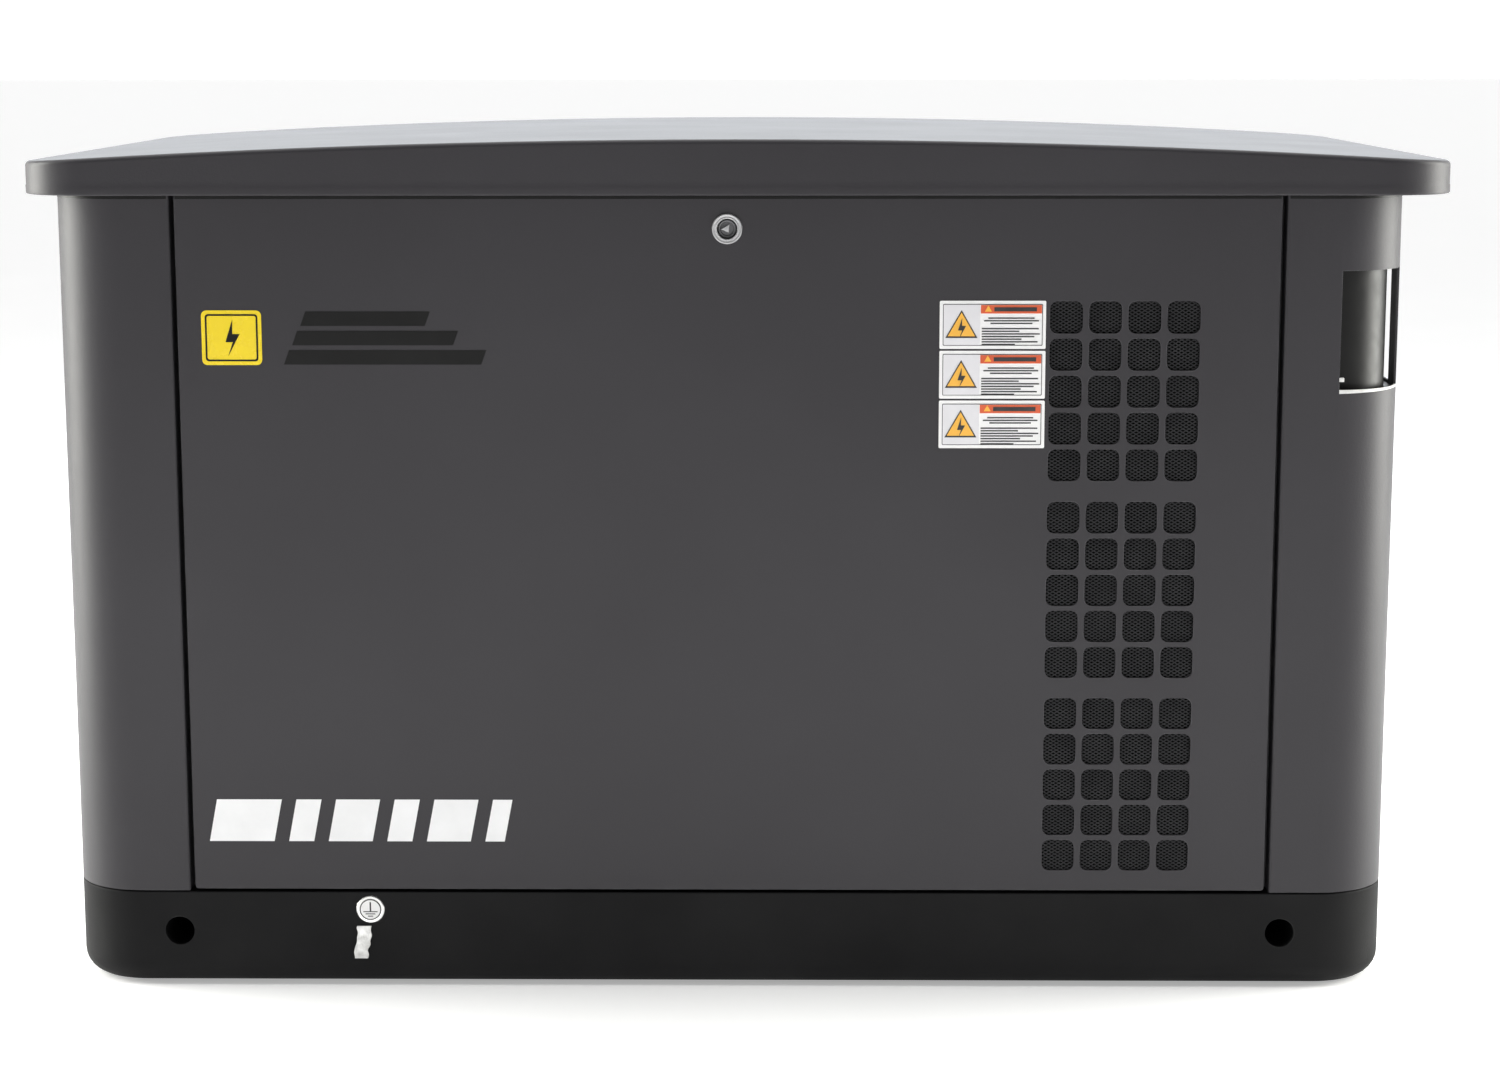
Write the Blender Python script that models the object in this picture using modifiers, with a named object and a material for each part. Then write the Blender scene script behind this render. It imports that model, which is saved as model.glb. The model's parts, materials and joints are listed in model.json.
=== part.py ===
"""Home standby generator: a gas-fuelled V-twin generating set in a sheet-metal enclosure.

Metres, +Z up. The origin is at the bottom centre of the base, +X is to the right seen from the front,
and -Y is towards the front. Each named object is one separate piece of the machine.
"""

import math

import bmesh
import bpy
from mathutils import Matrix, Vector

# ---------------------------------------------------------------- driving dimensions
BODY_LENGTH, BODY_DEPTH = 1.268, 0.700
BODY_CORNER = 0.070
BASE_HEIGHT = 0.093
BODY_TOP = 0.7585
LID_LENGTH, LID_DEPTH = 1.325, 0.764
LID_CORNER = 0.065
LID_BOTTOM = 0.762
LID_END_TOP = 0.789
LID_CROWN_TOP = 0.810
LID_RISE = LID_CROWN_TOP - LID_END_TOP
CROWN_RADIUS = ((LID_LENGTH / 2) ** 2 + LID_RISE**2) / (2 * LID_RISE)
SHEET = 0.002
GAP = 0.0003
SEAM_X, SEAM_GAP = 0.514, 0.005
RETURN_DEPTH = 0.016
LIP_WIDTH = 0.020
JAMB_WIDTH = 0.030

HALF_LENGTH, HALF_DEPTH = BODY_LENGTH / 2, BODY_DEPTH / 2
FRONT, REAR = -HALF_DEPTH, HALF_DEPTH
PANEL_HALF = SEAM_X - SEAM_GAP / 2
PANEL_BOTTOM = BASE_HEIGHT + 0.001
JAMB_SETBACK = RETURN_DEPTH + SHEET + 0.003

# front grille: three groups of five rows by four columns
CELL_WIDTH, CELL_HEIGHT, CELL_RADIUS = 0.0304, 0.0300, 0.0068
CELL_PITCH_X, CELL_PITCH_Z = 0.0363, 0.0346
GRILLE_X, GRILLE_TOP_Z = 0.3145, 0.645
GRILLE_COLUMNS, GRILLE_ROWS, GRILLE_GROUPS = 4, 5, 3
GROUP_GAP = 0.0150

# air outlet windows, high on the right end
WINDOW_LOW, WINDOW_HIGH = 0.577, 0.688
WINDOW_FRONT_X = 0.569
CORNER_WINDOW_END = HALF_DEPTH - 0.055
MULLION = 0.030
BAFFLE_SETBACK, BAFFLE_OVERLAP = 0.016, 0.012
BAFFLE_REACH = 78  # degrees round each corner

LOCK_Z = 0.727
PIN_HEIGHTS = (0.135, 0.700)
LIFT_HOLE_X, LIFT_HOLE_Z, LIFT_HOLE_RADIUS = 0.528, 0.054, 0.014

# cooling slots and cable entry in the back
SLOT_LENGTH, SLOT_HEIGHT, SLOT_PITCH = 0.100, 0.010, 0.024
SLOT_COLUMNS, SLOT_LOW, SLOT_ROWS = (0.120, 0.240), 0.150, 20
CABLE_X = -0.420

# lid hinge and gas struts
HINGE_Y, HINGE_Z = 0.3655, 0.7575
HINGE_X = 0.400
LID_OPENS = math.radians(55)
STRUT_X = 0.585
STRUT_LID_Y, STRUT_LID_Z = 0.2555, 0.7710
LUG_INNER_X, LUG_OUTER_X = 0.5960, 0.5990
STRUT_MID_LENGTH = 0.330
ROD_LENGTH = 0.215
TUBE_START, TUBE_END, TUBE_BORE_END = 0.012, 0.215, 0.035

FOAM_HALF_LENGTH, FOAM_HALF_DEPTH, FOAM_THICKNESS = 0.560, 0.285, 0.015

# engine and alternator, on one crankshaft line along X
CRANK_Z = 0.360
CASE_LEFT, CASE_RIGHT = -0.130, 0.110
CYLINDER_LEAN = math.radians(45)
CYLINDER_X = {"front": 0.015, "rear": -0.035}
BLOWER_LEFT, BLOWER_RIGHT, BLOWER_RADIUS = 0.120, 0.240, 0.160
STATOR_LEFT, STATOR_RIGHT, STATOR_RADIUS = -0.420, -0.135, 0.140
RAIL_Y, RAIL_BOTTOM, RAIL_TOP = 0.115, 0.130, 0.185
PARTITION_X = 0.445
MUFFLER_X, MUFFLER_Z, MUFFLER_RADIUS = 0.535, 0.300, 0.060
PIPE_Y, PIPE_Z, PIPE_RADIUS = 0.200, 0.500, 0.018
GAS_X, GAS_INLET_Z, REGULATOR_Z = -0.300, 0.300, 0.550

# control box: the switches sit on its sloping face
BOX_LEFT, BOX_RIGHT = -0.560, -0.270
BOX_PROFILE = [(-0.310, 0.460), (-0.140, 0.460), (-0.140, 0.700), (-0.240, 0.700), (-0.310, 0.600)]
SWITCH_RECESS = 0.008

# ---------------------------------------------------------------- scene and materials


def clear_scene():
    for obj in list(bpy.data.objects):
        bpy.data.objects.remove(obj)


def new_collection(name, hidden=False):
    made = bpy.data.collections.new(name)
    made.hide_render = hidden
    bpy.context.scene.collection.children.link(made)
    return made


def new_material(name, colour, roughness, metallic=0.0):
    made = bpy.data.materials.new(name)
    made.use_nodes = True
    shader = made.node_tree.nodes["Principled BSDF"]
    shader.inputs["Base Color"].default_value = (*colour, 1.0)
    shader.inputs["Roughness"].default_value = roughness
    shader.inputs["Metallic"].default_value = metallic
    return made


clear_scene()
PARTS = new_collection("home_standby_generator")
CUTTERS = new_collection("cutters", hidden=True)
MATERIALS = {
    "case_paint": new_material("case_paint", (0.055, 0.055, 0.060), 0.45),
    "base_paint": new_material("base_paint", (0.015, 0.015, 0.016), 0.55),
    "mesh_black": new_material("mesh_black", (0.012, 0.012, 0.013), 0.50),
    "zinc": new_material("zinc", (0.60, 0.61, 0.62), 0.35, 1.0),
    "bright_zinc": new_material("bright_zinc", (0.66, 0.66, 0.65), 0.30, 1.0),
    "black_plastic": new_material("black_plastic", (0.025, 0.025, 0.027), 0.50),
    "cast_aluminium": new_material("cast_aluminium", (0.52, 0.53, 0.54), 0.50, 1.0),
    "engine_black": new_material("engine_black", (0.025, 0.025, 0.027), 0.45),
    "steel": new_material("steel", (0.45, 0.45, 0.46), 0.40, 1.0),
    "heat_steel": new_material("heat_steel", (0.32, 0.29, 0.26), 0.50, 1.0),
    "rubber": new_material("rubber", (0.020, 0.020, 0.020), 0.80),
    "foam": new_material("foam", (0.045, 0.045, 0.048), 0.95),
    "orange_filter": new_material("orange_filter", (0.70, 0.16, 0.02), 0.40),
    "yellow_plastic": new_material("yellow_plastic", (0.85, 0.55, 0.03), 0.45),
    "red_plastic": new_material("red_plastic", (0.60, 0.02, 0.02), 0.40),
    "control_plastic": new_material("control_plastic", (0.16, 0.16, 0.17), 0.50),
    "battery_case": new_material("battery_case", (0.030, 0.030, 0.035), 0.50),
    "copper": new_material("copper", (0.72, 0.38, 0.24), 0.40, 1.0),
}

# ---------------------------------------------------------------- shape helpers


def link(obj, name, collection=PARTS):
    obj.name = name
    obj.data.name = name
    collection.objects.link(obj)
    return obj


def from_bmesh(name, shape, matrix=None):
    mesh = bpy.data.meshes.new(name)
    shape.to_mesh(mesh)
    shape.free()
    obj = link(bpy.data.objects.new(name, mesh), name)
    obj.matrix_world = matrix or Matrix.Identity(4)
    return obj


def box(name, low, high, matrix=None):
    """A box between two corners, given in the frame of matrix."""
    low, high = Vector(low), Vector(high)
    shape = bmesh.new()
    bmesh.ops.create_cube(shape, size=1.0)
    bmesh.ops.scale(shape, vec=high - low, verts=shape.verts)
    return from_bmesh(name, shape, (matrix or Matrix.Identity(4)) @ Matrix.Translation((low + high) / 2))


def along(start, end):
    """The matrix whose +Z runs from start to end, with its origin halfway."""
    start, end = Vector(start), Vector(end)
    turn = (end - start).to_track_quat("Z", "Y").to_matrix().to_4x4()
    return Matrix.Translation((start + end) / 2) @ turn


def cylinder(name, start, end, radius, sides=24, end_radius=None):
    shape = bmesh.new()
    bmesh.ops.create_cone(
        shape,
        cap_ends=True,
        segments=sides,
        radius1=radius,
        radius2=radius if end_radius is None else end_radius,
        depth=(Vector(end) - Vector(start)).length,
    )
    return from_bmesh(name, shape, along(start, end))


def as_mesh(curve):
    """Turns a curve object into a mesh object in the same place, with its caps welded on."""
    bpy.context.view_layer.update()
    graph = bpy.context.evaluated_depsgraph_get()
    mesh = bpy.data.meshes.new_from_object(curve.evaluated_get(graph))
    shape = bmesh.new()
    shape.from_mesh(mesh)
    bmesh.ops.remove_doubles(shape, verts=shape.verts, dist=1e-5)
    bmesh.ops.recalc_face_normals(shape, faces=shape.faces)
    shape.to_mesh(mesh)
    shape.free()
    name, matrix = curve.name, curve.matrix_world.copy()
    bpy.data.objects.remove(curve)
    solid = link(bpy.data.objects.new(name, mesh), name)
    solid.matrix_world = matrix
    return solid


def add_poly(data, points, cyclic):
    spline = data.splines.new("POLY")
    spline.points.add(len(points) - 1)
    for place, point in zip(spline.points, points):
        place.co = (*point, *([0.0] * (3 - len(point))), 1.0)
    spline.use_cyclic_u = cyclic


def plate(name, loops, low, high, matrix):
    """A flat outline with holes, in the XY plane of matrix, filling low to high along its Z."""
    data = bpy.data.curves.new(name, "CURVE")
    data.dimensions = "2D"
    data.fill_mode = "BOTH"
    data.extrude = (high - low) / 2
    for loop in loops:
        add_poly(data, loop, True)
    obj = link(bpy.data.objects.new(name, data), name)
    obj.matrix_world = matrix @ Matrix.Translation((0, 0, (low + high) / 2))
    return as_mesh(obj)


def tube(name, points, radius, resolution=2):
    """A round bar along points. Resolution 2 gives it 8 sides, and 4 gives it 12."""
    data = bpy.data.curves.new(name, "CURVE")
    data.dimensions = "3D"
    data.bevel_depth = radius
    data.bevel_resolution = resolution
    data.use_fill_caps = True
    add_poly(data, points, False)
    return as_mesh(link(bpy.data.objects.new(name, data), name))


def smooth_route(knots, step):
    """Points about a step apart on a smooth curve through the knots, ends included."""
    knots = [Vector(k) for k in knots]
    padded = [2 * knots[0] - knots[1], *knots, 2 * knots[-1] - knots[-2]]
    points = [knots[0]]
    for a, b, c, d in zip(padded, padded[1:], padded[2:], padded[3:]):
        count = max(1, round((c - b).length / step))
        for i in range(1, count + 1):
            t = i / count
            points.append(
                0.5 * (
                    2 * b + (c - a) * t + (2 * a - 5 * b + 4 * c - d) * t**2 + (3 * b - a - 3 * c + d) * t**3
                )
            )
    return points


def arc(centre, radius, start, end, steps):
    """Points on an arc, with its angles in degrees."""
    angles = [math.radians(start + (end - start) * i / steps) for i in range(steps + 1)]
    return [(centre[0] + radius * math.cos(a), centre[1] + radius * math.sin(a)) for a in angles]


def rounded_rectangle(low, high, radius, steps=6):
    x0, y0, x1, y1 = low[0] + radius, low[1] + radius, high[0] - radius, high[1] - radius
    corners = [((x1, y0), -90), ((x1, y1), 0), ((x0, y1), 90), ((x0, y0), 180)]
    return [p for centre, start in corners for p in arc(centre, radius, start, start + 90, steps)]


def sheet_outline(path, thickness):
    """The closed outline of a bent sheet whose outer face follows path, with its metal on the left of it."""
    points = [Vector(p) for p in path]
    inner = []
    for i, point in enumerate(points):
        before = (point - points[i - 1]).normalized() if i else None
        after = (points[i + 1] - point).normalized() if i < len(points) - 1 else None
        sides = [Vector((-d.y, d.x)) for d in (before, after) if d is not None]
        mean = sum(sides, Vector((0, 0))).normalized()
        inner.append(point + mean * thickness / mean.dot(sides[0]))
    return [tuple(p) for p in points] + [tuple(p) for p in reversed(inner)]


FRONT_PLANE = Matrix.Rotation(math.radians(90), 4, "X")  # local X, Y are world X, Z, and local Z is world -Y
SIDE_PLANE = Matrix.Rotation(math.radians(90), 4, "Z") @ FRONT_PLANE  # local X, Y, Z are world Y, Z, X
LEVEL = Matrix.Identity(4)


def boolean(obj, other, operation):
    """Adds a Boolean to obj, and hides the other object as a cutter."""
    for collection in other.users_collection:
        collection.objects.unlink(other)
    CUTTERS.objects.link(other)
    other.hide_render = True
    other.display_type = "WIRE"
    modifier = obj.modifiers.new(operation.lower(), "BOOLEAN")
    modifier.operation = operation
    modifier.object = other
    return obj


def cut(obj, *others):
    for other in others:
        boolean(obj, other, "DIFFERENCE")
    return obj


def join(obj, *others):
    for other in others:
        boolean(obj, other, "UNION")
    return obj


def meet(obj, *others):
    for other in others:
        boolean(obj, other, "INTERSECT")
    return obj


def round_edges(obj, width, segments=2):
    modifier = obj.modifiers.new("round_edges", "BEVEL")
    modifier.width = width
    modifier.segments = segments
    modifier.limit_method = "ANGLE"
    modifier.angle_limit = math.radians(30)
    return obj


def paint(obj, material):
    obj.data.materials.clear()
    obj.data.materials.append(MATERIALS[material])
    obj.data.shade_smooth()
    obj.data.set_sharp_from_angle(angle=math.radians(30))
    return obj


# ---------------------------------------------------------------- base and enclosure


def base_prism(name, inset, low, high, corner_rounding):
    outline = rounded_rectangle(
        (-HALF_LENGTH + inset, FRONT + inset), (HALF_LENGTH - inset, REAR - inset), BODY_CORNER - inset
    )
    prism = plate(name, [outline], low, high, LEVEL)
    if corner_rounding:
        rounding = prism.modifiers.new("bottom_rounding", "BEVEL")
        rounding.width = corner_rounding
        rounding.segments = 3
        rounding.limit_method = "WEIGHT"
        weights = prism.data.attributes.new("bevel_weight_edge", "FLOAT", "EDGE")
        for edge in prism.data.edges:
            ends = [prism.data.vertices[v].co.z for v in edge.vertices]
            weights.data[edge.index].value = float(max(ends) < 0)
    return prism


def build_base():
    """A folded steel base, open below, with a deck on top and a foot flange round the bottom."""
    wall, foot_width, rounding = 0.003, 0.050, 0.022
    base = base_prism("base_pan", 0.0, 0.0, BASE_HEIGHT, rounding)
    cut(base, base_prism("base_hollow", wall, wall, BASE_HEIGHT - wall, rounding - wall))
    cut(base, base_prism("base_mouth", foot_width, -wall, 2 * wall, 0.0))
    for side in (-1, 1):
        x = side * LIFT_HOLE_X
        hole = cylinder(
            "lift_hole", (x, FRONT - 0.02, LIFT_HOLE_Z), (x, REAR + 0.02, LIFT_HOLE_Z), LIFT_HOLE_RADIUS, 40
        )
        cut(base, hole)
    paint(base, "base_paint")


def end_panel_path():
    """The outer face of the right end panel seen from above, from its front jamb round to its rear jamb."""
    seam, tip = SEAM_X + SEAM_GAP / 2, SEAM_X + SEAM_GAP / 2 - JAMB_WIDTH
    x, y = HALF_LENGTH - BODY_CORNER, HALF_DEPTH - BODY_CORNER
    front_edge = [(tip, FRONT + JAMB_SETBACK), (seam, FRONT + JAMB_SETBACK), (seam, FRONT)]
    rear_edge = [(seam, REAR), (seam, REAR - JAMB_SETBACK), (tip, REAR - JAMB_SETBACK)]
    return [
        *front_edge,
        *arc((x, -y), BODY_CORNER, -90, 0, 8),
        *arc((x, y), BODY_CORNER, 0, 90, 8),
        *rear_edge,
    ]


def strut_points():
    """(lower pivot, upper pivot closed, upper pivot open), each as (y, z)."""
    hinge = Vector((HINGE_Y, HINGE_Z))
    arm = Vector((STRUT_LID_Y, STRUT_LID_Z)) - hinge

    def turned(angle):
        c, s = math.cos(angle), math.sin(angle)
        return Vector((arm.x * c + arm.y * s, -arm.x * s + arm.y * c))

    middle = turned(LID_OPENS / 2)
    upright = Vector((middle.y, -middle.x)).normalized()
    return hinge + middle - upright * STRUT_MID_LENGTH, hinge + arm, hinge + turned(LID_OPENS)


def build_end_panels():
    lower, _, _ = strut_points()
    for side, word in ((-1, "left"), (1, "right")):
        mirror = Matrix.Diagonal((side, 1, 1, 1))
        outline = [(side * x, y) for x, y in sheet_outline(end_panel_path(), SHEET)]
        panel = plate(f"{word}_end_panel", [outline], PANEL_BOTTOM, BODY_TOP, LEVEL)
        bracket = box(
            "strut_bracket",
            (0.607, lower.x - 0.02, lower.y - 0.015),
            (0.6325, lower.x + 0.02, lower.y + 0.014),
        )
        bracket.matrix_world = mirror @ bracket.matrix_world
        stud = cylinder("strut_stud", (side * 0.610, *lower), (side * 0.574, *lower), 0.0040, 12)
        join(panel, bracket, stud)
        for z in PIN_HEIGHTS:
            x, y = side * (PANEL_HALF - LIP_WIDTH / 2), FRONT + JAMB_SETBACK + SHEET / 2
            join(panel, cylinder("locating_pin", (x, y, z), (x, y - 0.008, z), 0.003, 10))
        if side > 0:
            cut_windows(panel)
        paint(panel, "case_paint")


def cut_windows(panel):
    """Four windows: one round each corner, and two between them along the end."""
    corner_end, side_start = CORNER_WINDOW_END, CORNER_WINDOW_END - MULLION
    spans = [
        (WINDOW_FRONT_X, -HALF_DEPTH - 0.05, -corner_end),
        (HALF_LENGTH - 0.010, -side_start, -MULLION / 2),
        (HALF_LENGTH - 0.010, MULLION / 2, side_start),
        (WINDOW_FRONT_X, corner_end, HALF_DEPTH + 0.05),
    ]
    for x, low_y, high_y in spans:
        cut(panel, box("window", (x, low_y, WINDOW_LOW), (HALF_LENGTH + 0.05, high_y, WINDOW_HIGH)))


def build_baffle():
    """The curved wall that stands inside the outlet windows."""
    x, y = HALF_LENGTH - BODY_CORNER, HALF_DEPTH - BODY_CORNER
    radius = BODY_CORNER - BAFFLE_SETBACK
    path = [*arc((x, -y), radius, -BAFFLE_REACH, 0, 6), *arc((x, y), radius, 0, BAFFLE_REACH, 6)]
    low, high = WINDOW_LOW - BAFFLE_OVERLAP, WINDOW_HIGH + BAFFLE_OVERLAP
    paint(plate("outlet_baffle", [sheet_outline(path, SHEET)], low, high, LEVEL), "case_paint")


def folded_panel(name, openings, z_low, z_high, face_y, inward):
    """A panel with its edges folded back once, then inwards. inward is +1 when the folds run towards +Y."""

    def slab(part, loops, near, far):
        low, high = sorted((-(face_y + inward * near), -(face_y + inward * far)))
        return plate(part, loops, low, high, FRONT_PLANE)

    def ring(width, radius):
        return rounded_rectangle(
            (-PANEL_HALF + width, z_low + width), (PANEL_HALF - width, z_high - width), radius, 1
        )

    return cut(
        slab(name, [ring(0.0, 0.003)], 0.0, RETURN_DEPTH + SHEET),
        slab("pocket", [ring(SHEET, 0.002)], SHEET, RETURN_DEPTH),
        slab("mouth", [ring(LIP_WIDTH, 0.002)], RETURN_DEPTH - 0.004, RETURN_DEPTH + SHEET + 0.005),
        slab("openings", openings, -0.005, SHEET + 0.005),
    )


def grille_cells():
    """Centres of the front grille's openings, as (x, z)."""
    cells = []
    z = GRILLE_TOP_Z
    for _ in range(GRILLE_GROUPS):
        for _ in range(GRILLE_ROWS):
            cells += [(GRILLE_X + column * CELL_PITCH_X, z) for column in range(GRILLE_COLUMNS)]
            z -= CELL_PITCH_Z
        z -= GROUP_GAP
    return cells


def pin_holes():
    """Clearance holes in a front lip for the jamb's locating pins."""
    x, y = PANEL_HALF - LIP_WIDTH / 2, FRONT + RETURN_DEPTH + SHEET / 2
    places = [(side * x, z) for side in (-1, 1) for z in PIN_HEIGHTS]
    return [cylinder("pin_hole", (px, y - 0.005, z), (px, y + 0.005, z), 0.0045, 10) for px, z in places]


def build_front_panel():
    openings = [
        rounded_rectangle(
            (
                x - CELL_WIDTH / 2, z - CELL_HEIGHT / 2
            ), (x + CELL_WIDTH / 2, z + CELL_HEIGHT / 2), CELL_RADIUS, 2
        )
        for x, z in grille_cells()
    ]
    lock_hole = arc((0, LOCK_Z), 0.0105, 0, 342, 19)
    panel = folded_panel("front_panel", [lock_hole, *openings], PANEL_BOTTOM + 0.002, BODY_TOP, FRONT, 1)
    cut(panel, *pin_holes())
    paint(panel, "case_paint")
    xs, zs = zip(*grille_cells())
    margin = 0.026
    low = (min(xs) - margin, FRONT + SHEET + GAP, min(zs) - margin)
    high = (max(xs) + margin, FRONT + SHEET + GAP + 0.0015, max(zs) + margin)
    paint(box("front_grille_mesh", low, high), "mesh_black")


def build_lock():
    """A quarter-turn lock with a triangular key: flanged housing, turning barrel, and the cam behind it."""
    face = FRONT - GAP
    flange = cylinder("lock_housing", (0, face, LOCK_Z), (0, face - 0.0025, LOCK_Z), 0.014, 28)
    body = cylinder("lock_body", (0, face - 0.001, LOCK_Z), (0, FRONT + 0.020, LOCK_Z), 0.0100, 20)
    bore = cylinder("lock_bore", (0, face - 0.010, LOCK_Z), (0, FRONT + 0.030, LOCK_Z), 0.0083, 20)
    paint(cut(join(flange, body), bore), "zinc")

    barrel = cylinder("lock_barrel", (0, FRONT + 0.0015, LOCK_Z), (0, FRONT + 0.042, LOCK_Z), 0.0078, 20)
    key = cylinder("lock_key", (0, FRONT + 0.002, LOCK_Z), (0, FRONT - 0.0022, LOCK_Z), 0.0050, 3)
    key.matrix_world = key.matrix_world @ Matrix.Rotation(math.radians(90), 4, "Z")
    paint(join(barrel, key), "zinc")

    cam = box("lock_cam", (-0.026, FRONT + 0.0423, LOCK_Z - 0.007), (0.008, FRONT + 0.0453, LOCK_Z + 0.007))
    paint(round_edges(cam, 0.002, 1), "zinc")


def build_rear_panel():
    """The fixed back, with two columns of cooling slots, the gas inlet's hole and a cable entry."""
    slots = [
        rounded_rectangle((x, z), (x + SLOT_LENGTH, z + SLOT_HEIGHT), 0.0045, 1)
        for x in SLOT_COLUMNS
        for z in [SLOT_LOW + SLOT_PITCH * row for row in range(SLOT_ROWS)]
    ]
    inlet_hole = arc((GAS_X, GAS_INLET_Z), 0.0200, 0, 342, 19)
    cable_hole = arc((CABLE_X, GAS_INLET_Z), 0.0140, 0, 342, 19)
    panel = folded_panel("rear_panel", [inlet_hole, cable_hole, *slots], PANEL_BOTTOM, BODY_TOP, REAR, -1)
    paint(panel, "case_paint")


def build_top_frame():
    """The rail that ties the end panels together and that the lid closes over."""
    reach = HALF_LENGTH - SHEET - 0.0025
    outer = rounded_rectangle((-reach, -0.325), (reach, 0.325), 0.065)
    inner = rounded_rectangle((0.024 - reach, -0.3105), (reach - 0.024, 0.3105), 0.045)
    frame = plate("top_frame", [outer, inner], BODY_TOP - 0.017, BODY_TOP - 0.001, LEVEL)
    paint(frame, "case_paint")


def build_partition():
    """The firewall between the engine bay and the muffler."""
    outline = rounded_rectangle((-0.318, PANEL_BOTTOM), (0.318, 0.7325), 0.004, 1)
    holes = [arc((side * PIPE_Y, PIPE_Z), PIPE_RADIUS + 0.006, 0, 337.5, 15) for side in (-1, 1)]
    wall = plate("exhaust_partition", [outline, *holes], PARTITION_X, PARTITION_X + SHEET, SIDE_PLANE)
    paint(wall, "zinc")


def build_earth_strap():
    """The bent earthing strip that hangs on the front of the base."""
    x, top, bottom, width = -0.352, 0.0595, 0.0270, 0.0135
    y = FRONT - GAP
    path = [(y, bottom), (y, 0.040), (y - 0.0035, 0.043), (y - 0.0035, 0.049), (y, 0.052), (y, top)]
    strap = plate(
        "earth_strap", [
            sheet_outline([(a, b) for a, b in reversed(path)], -0.0015)
        ], x - width / 2, x + width / 2, SIDE_PLANE
    )
    paint(strap, "bright_zinc")


# ---------------------------------------------------------------- lid, hinges and struts


LID_SHIFT = 0.008  # the photographed lid hangs further over the right end than over the left
LID_LEVEL = Matrix.Translation((LID_SHIFT, 0, 0))
LID_PLANE = LID_LEVEL @ FRONT_PLANE


def crown_height(x):
    """Height of the lid's top face above x."""
    return LID_CROWN_TOP - CROWN_RADIUS + math.sqrt(CROWN_RADIUS**2 - (x - LID_SHIFT) ** 2)


def crown_profile(inset, bottom):
    """The lid's outline seen from the front: flat below, a shallow arc above."""
    reach = math.degrees(math.asin((LID_LENGTH / 2 + 0.01) / CROWN_RADIUS))
    top = arc((0, LID_CROWN_TOP - CROWN_RADIUS), CROWN_RADIUS - inset, 90 - reach, 90 + reach, 24)
    return [(top[-1][0], bottom), (top[0][0], bottom), *top]


def lid_solid(name, inset, bottom):
    corner = (LID_LENGTH / 2 - inset, LID_DEPTH / 2 - inset)
    outline = rounded_rectangle((-corner[0], -corner[1]), corner, LID_CORNER - inset, 8)
    solid = plate(name, [outline], bottom, LID_CROWN_TOP + 0.02, LID_LEVEL)
    reach = LID_DEPTH / 2 + 0.02
    return meet(
        solid, plate(name + "_crown", [crown_profile(inset, bottom - 0.01)], -reach, reach, LID_PLANE)
    )


def build_lid():
    lid = lid_solid("lid", 0.0, LID_BOTTOM)
    cut(lid, lid_solid("lid_hollow", SHEET, LID_BOTTOM - 0.005))
    _, closed, _ = strut_points()
    for side in (-1, 1):
        x = sorted((side * LUG_INNER_X, side * LUG_OUTER_X))
        top = crown_height(side * LUG_OUTER_X) - SHEET / 2
        lug = box("strut_lug", (x[0], closed.x - 0.022, closed.y - 0.012), (x[1], closed.x + 0.022, top))
        join(lid, lug)
    paint(lid, "case_paint")

    reach = math.degrees(math.asin(FOAM_HALF_LENGTH / CROWN_RADIUS))
    middle = (0, LID_CROWN_TOP - CROWN_RADIUS)
    face = arc(middle, CROWN_RADIUS - SHEET - GAP, 90 - reach, 90 + reach, 16)
    outline = sheet_outline(face, FOAM_THICKNESS)
    paint(plate("lid_foam", [outline], -FOAM_HALF_DEPTH, FOAM_HALF_DEPTH, LID_PLANE), "foam")


def build_hinges():
    """Two barrel hinges behind the enclosure. The fixed leaf has the pin, and the lid's leaf turns on it."""
    width, barrel, pin = 0.060, 0.0055, 0.0028
    for side, word in ((-1, "left"), (1, "right")):
        middle = side * HINGE_X
        low, high = middle - width / 2, middle + width / 2
        axis = (HINGE_Y, HINGE_Z)
        base = box(f"hinge_base_{word}", (low, REAR + GAP, 0.710), (high, REAR + GAP + SHEET, 0.7535))
        tab = box("hinge_tab", (low, REAR + GAP + 0.001, 0.7505), (middle - 0.0005, HINGE_Y, 0.7535))
        knuckle = cylinder("knuckle", (low, *axis), (middle - 0.0005, *axis), barrel, 16)
        pivot = cylinder("hinge_pin", (low + 0.01, *axis), (high - 0.002, *axis), pin, 12)
        paint(join(base, tab, knuckle, pivot), "zinc")

        skirt = LID_DEPTH / 2 - SHEET - GAP
        leaf = box(f"hinge_leaf_{word}", (low, skirt - SHEET, 0.7600), (high, skirt, 0.7830))
        tab = box("leaf_tab", (middle + 0.0005, HINGE_Y, 0.7602), (high - 0.0002, skirt - SHEET / 2, 0.7625))
        knuckle = cylinder("leaf_knuckle", (middle + 0.0005, *axis), (high, *axis), barrel, 16)
        bore = cylinder("leaf_bore", (middle - 0.005, *axis), (high + 0.005, *axis), pin + 0.0004, 12)
        paint(cut(join(leaf, tab, knuckle), bore), "zinc")


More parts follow.
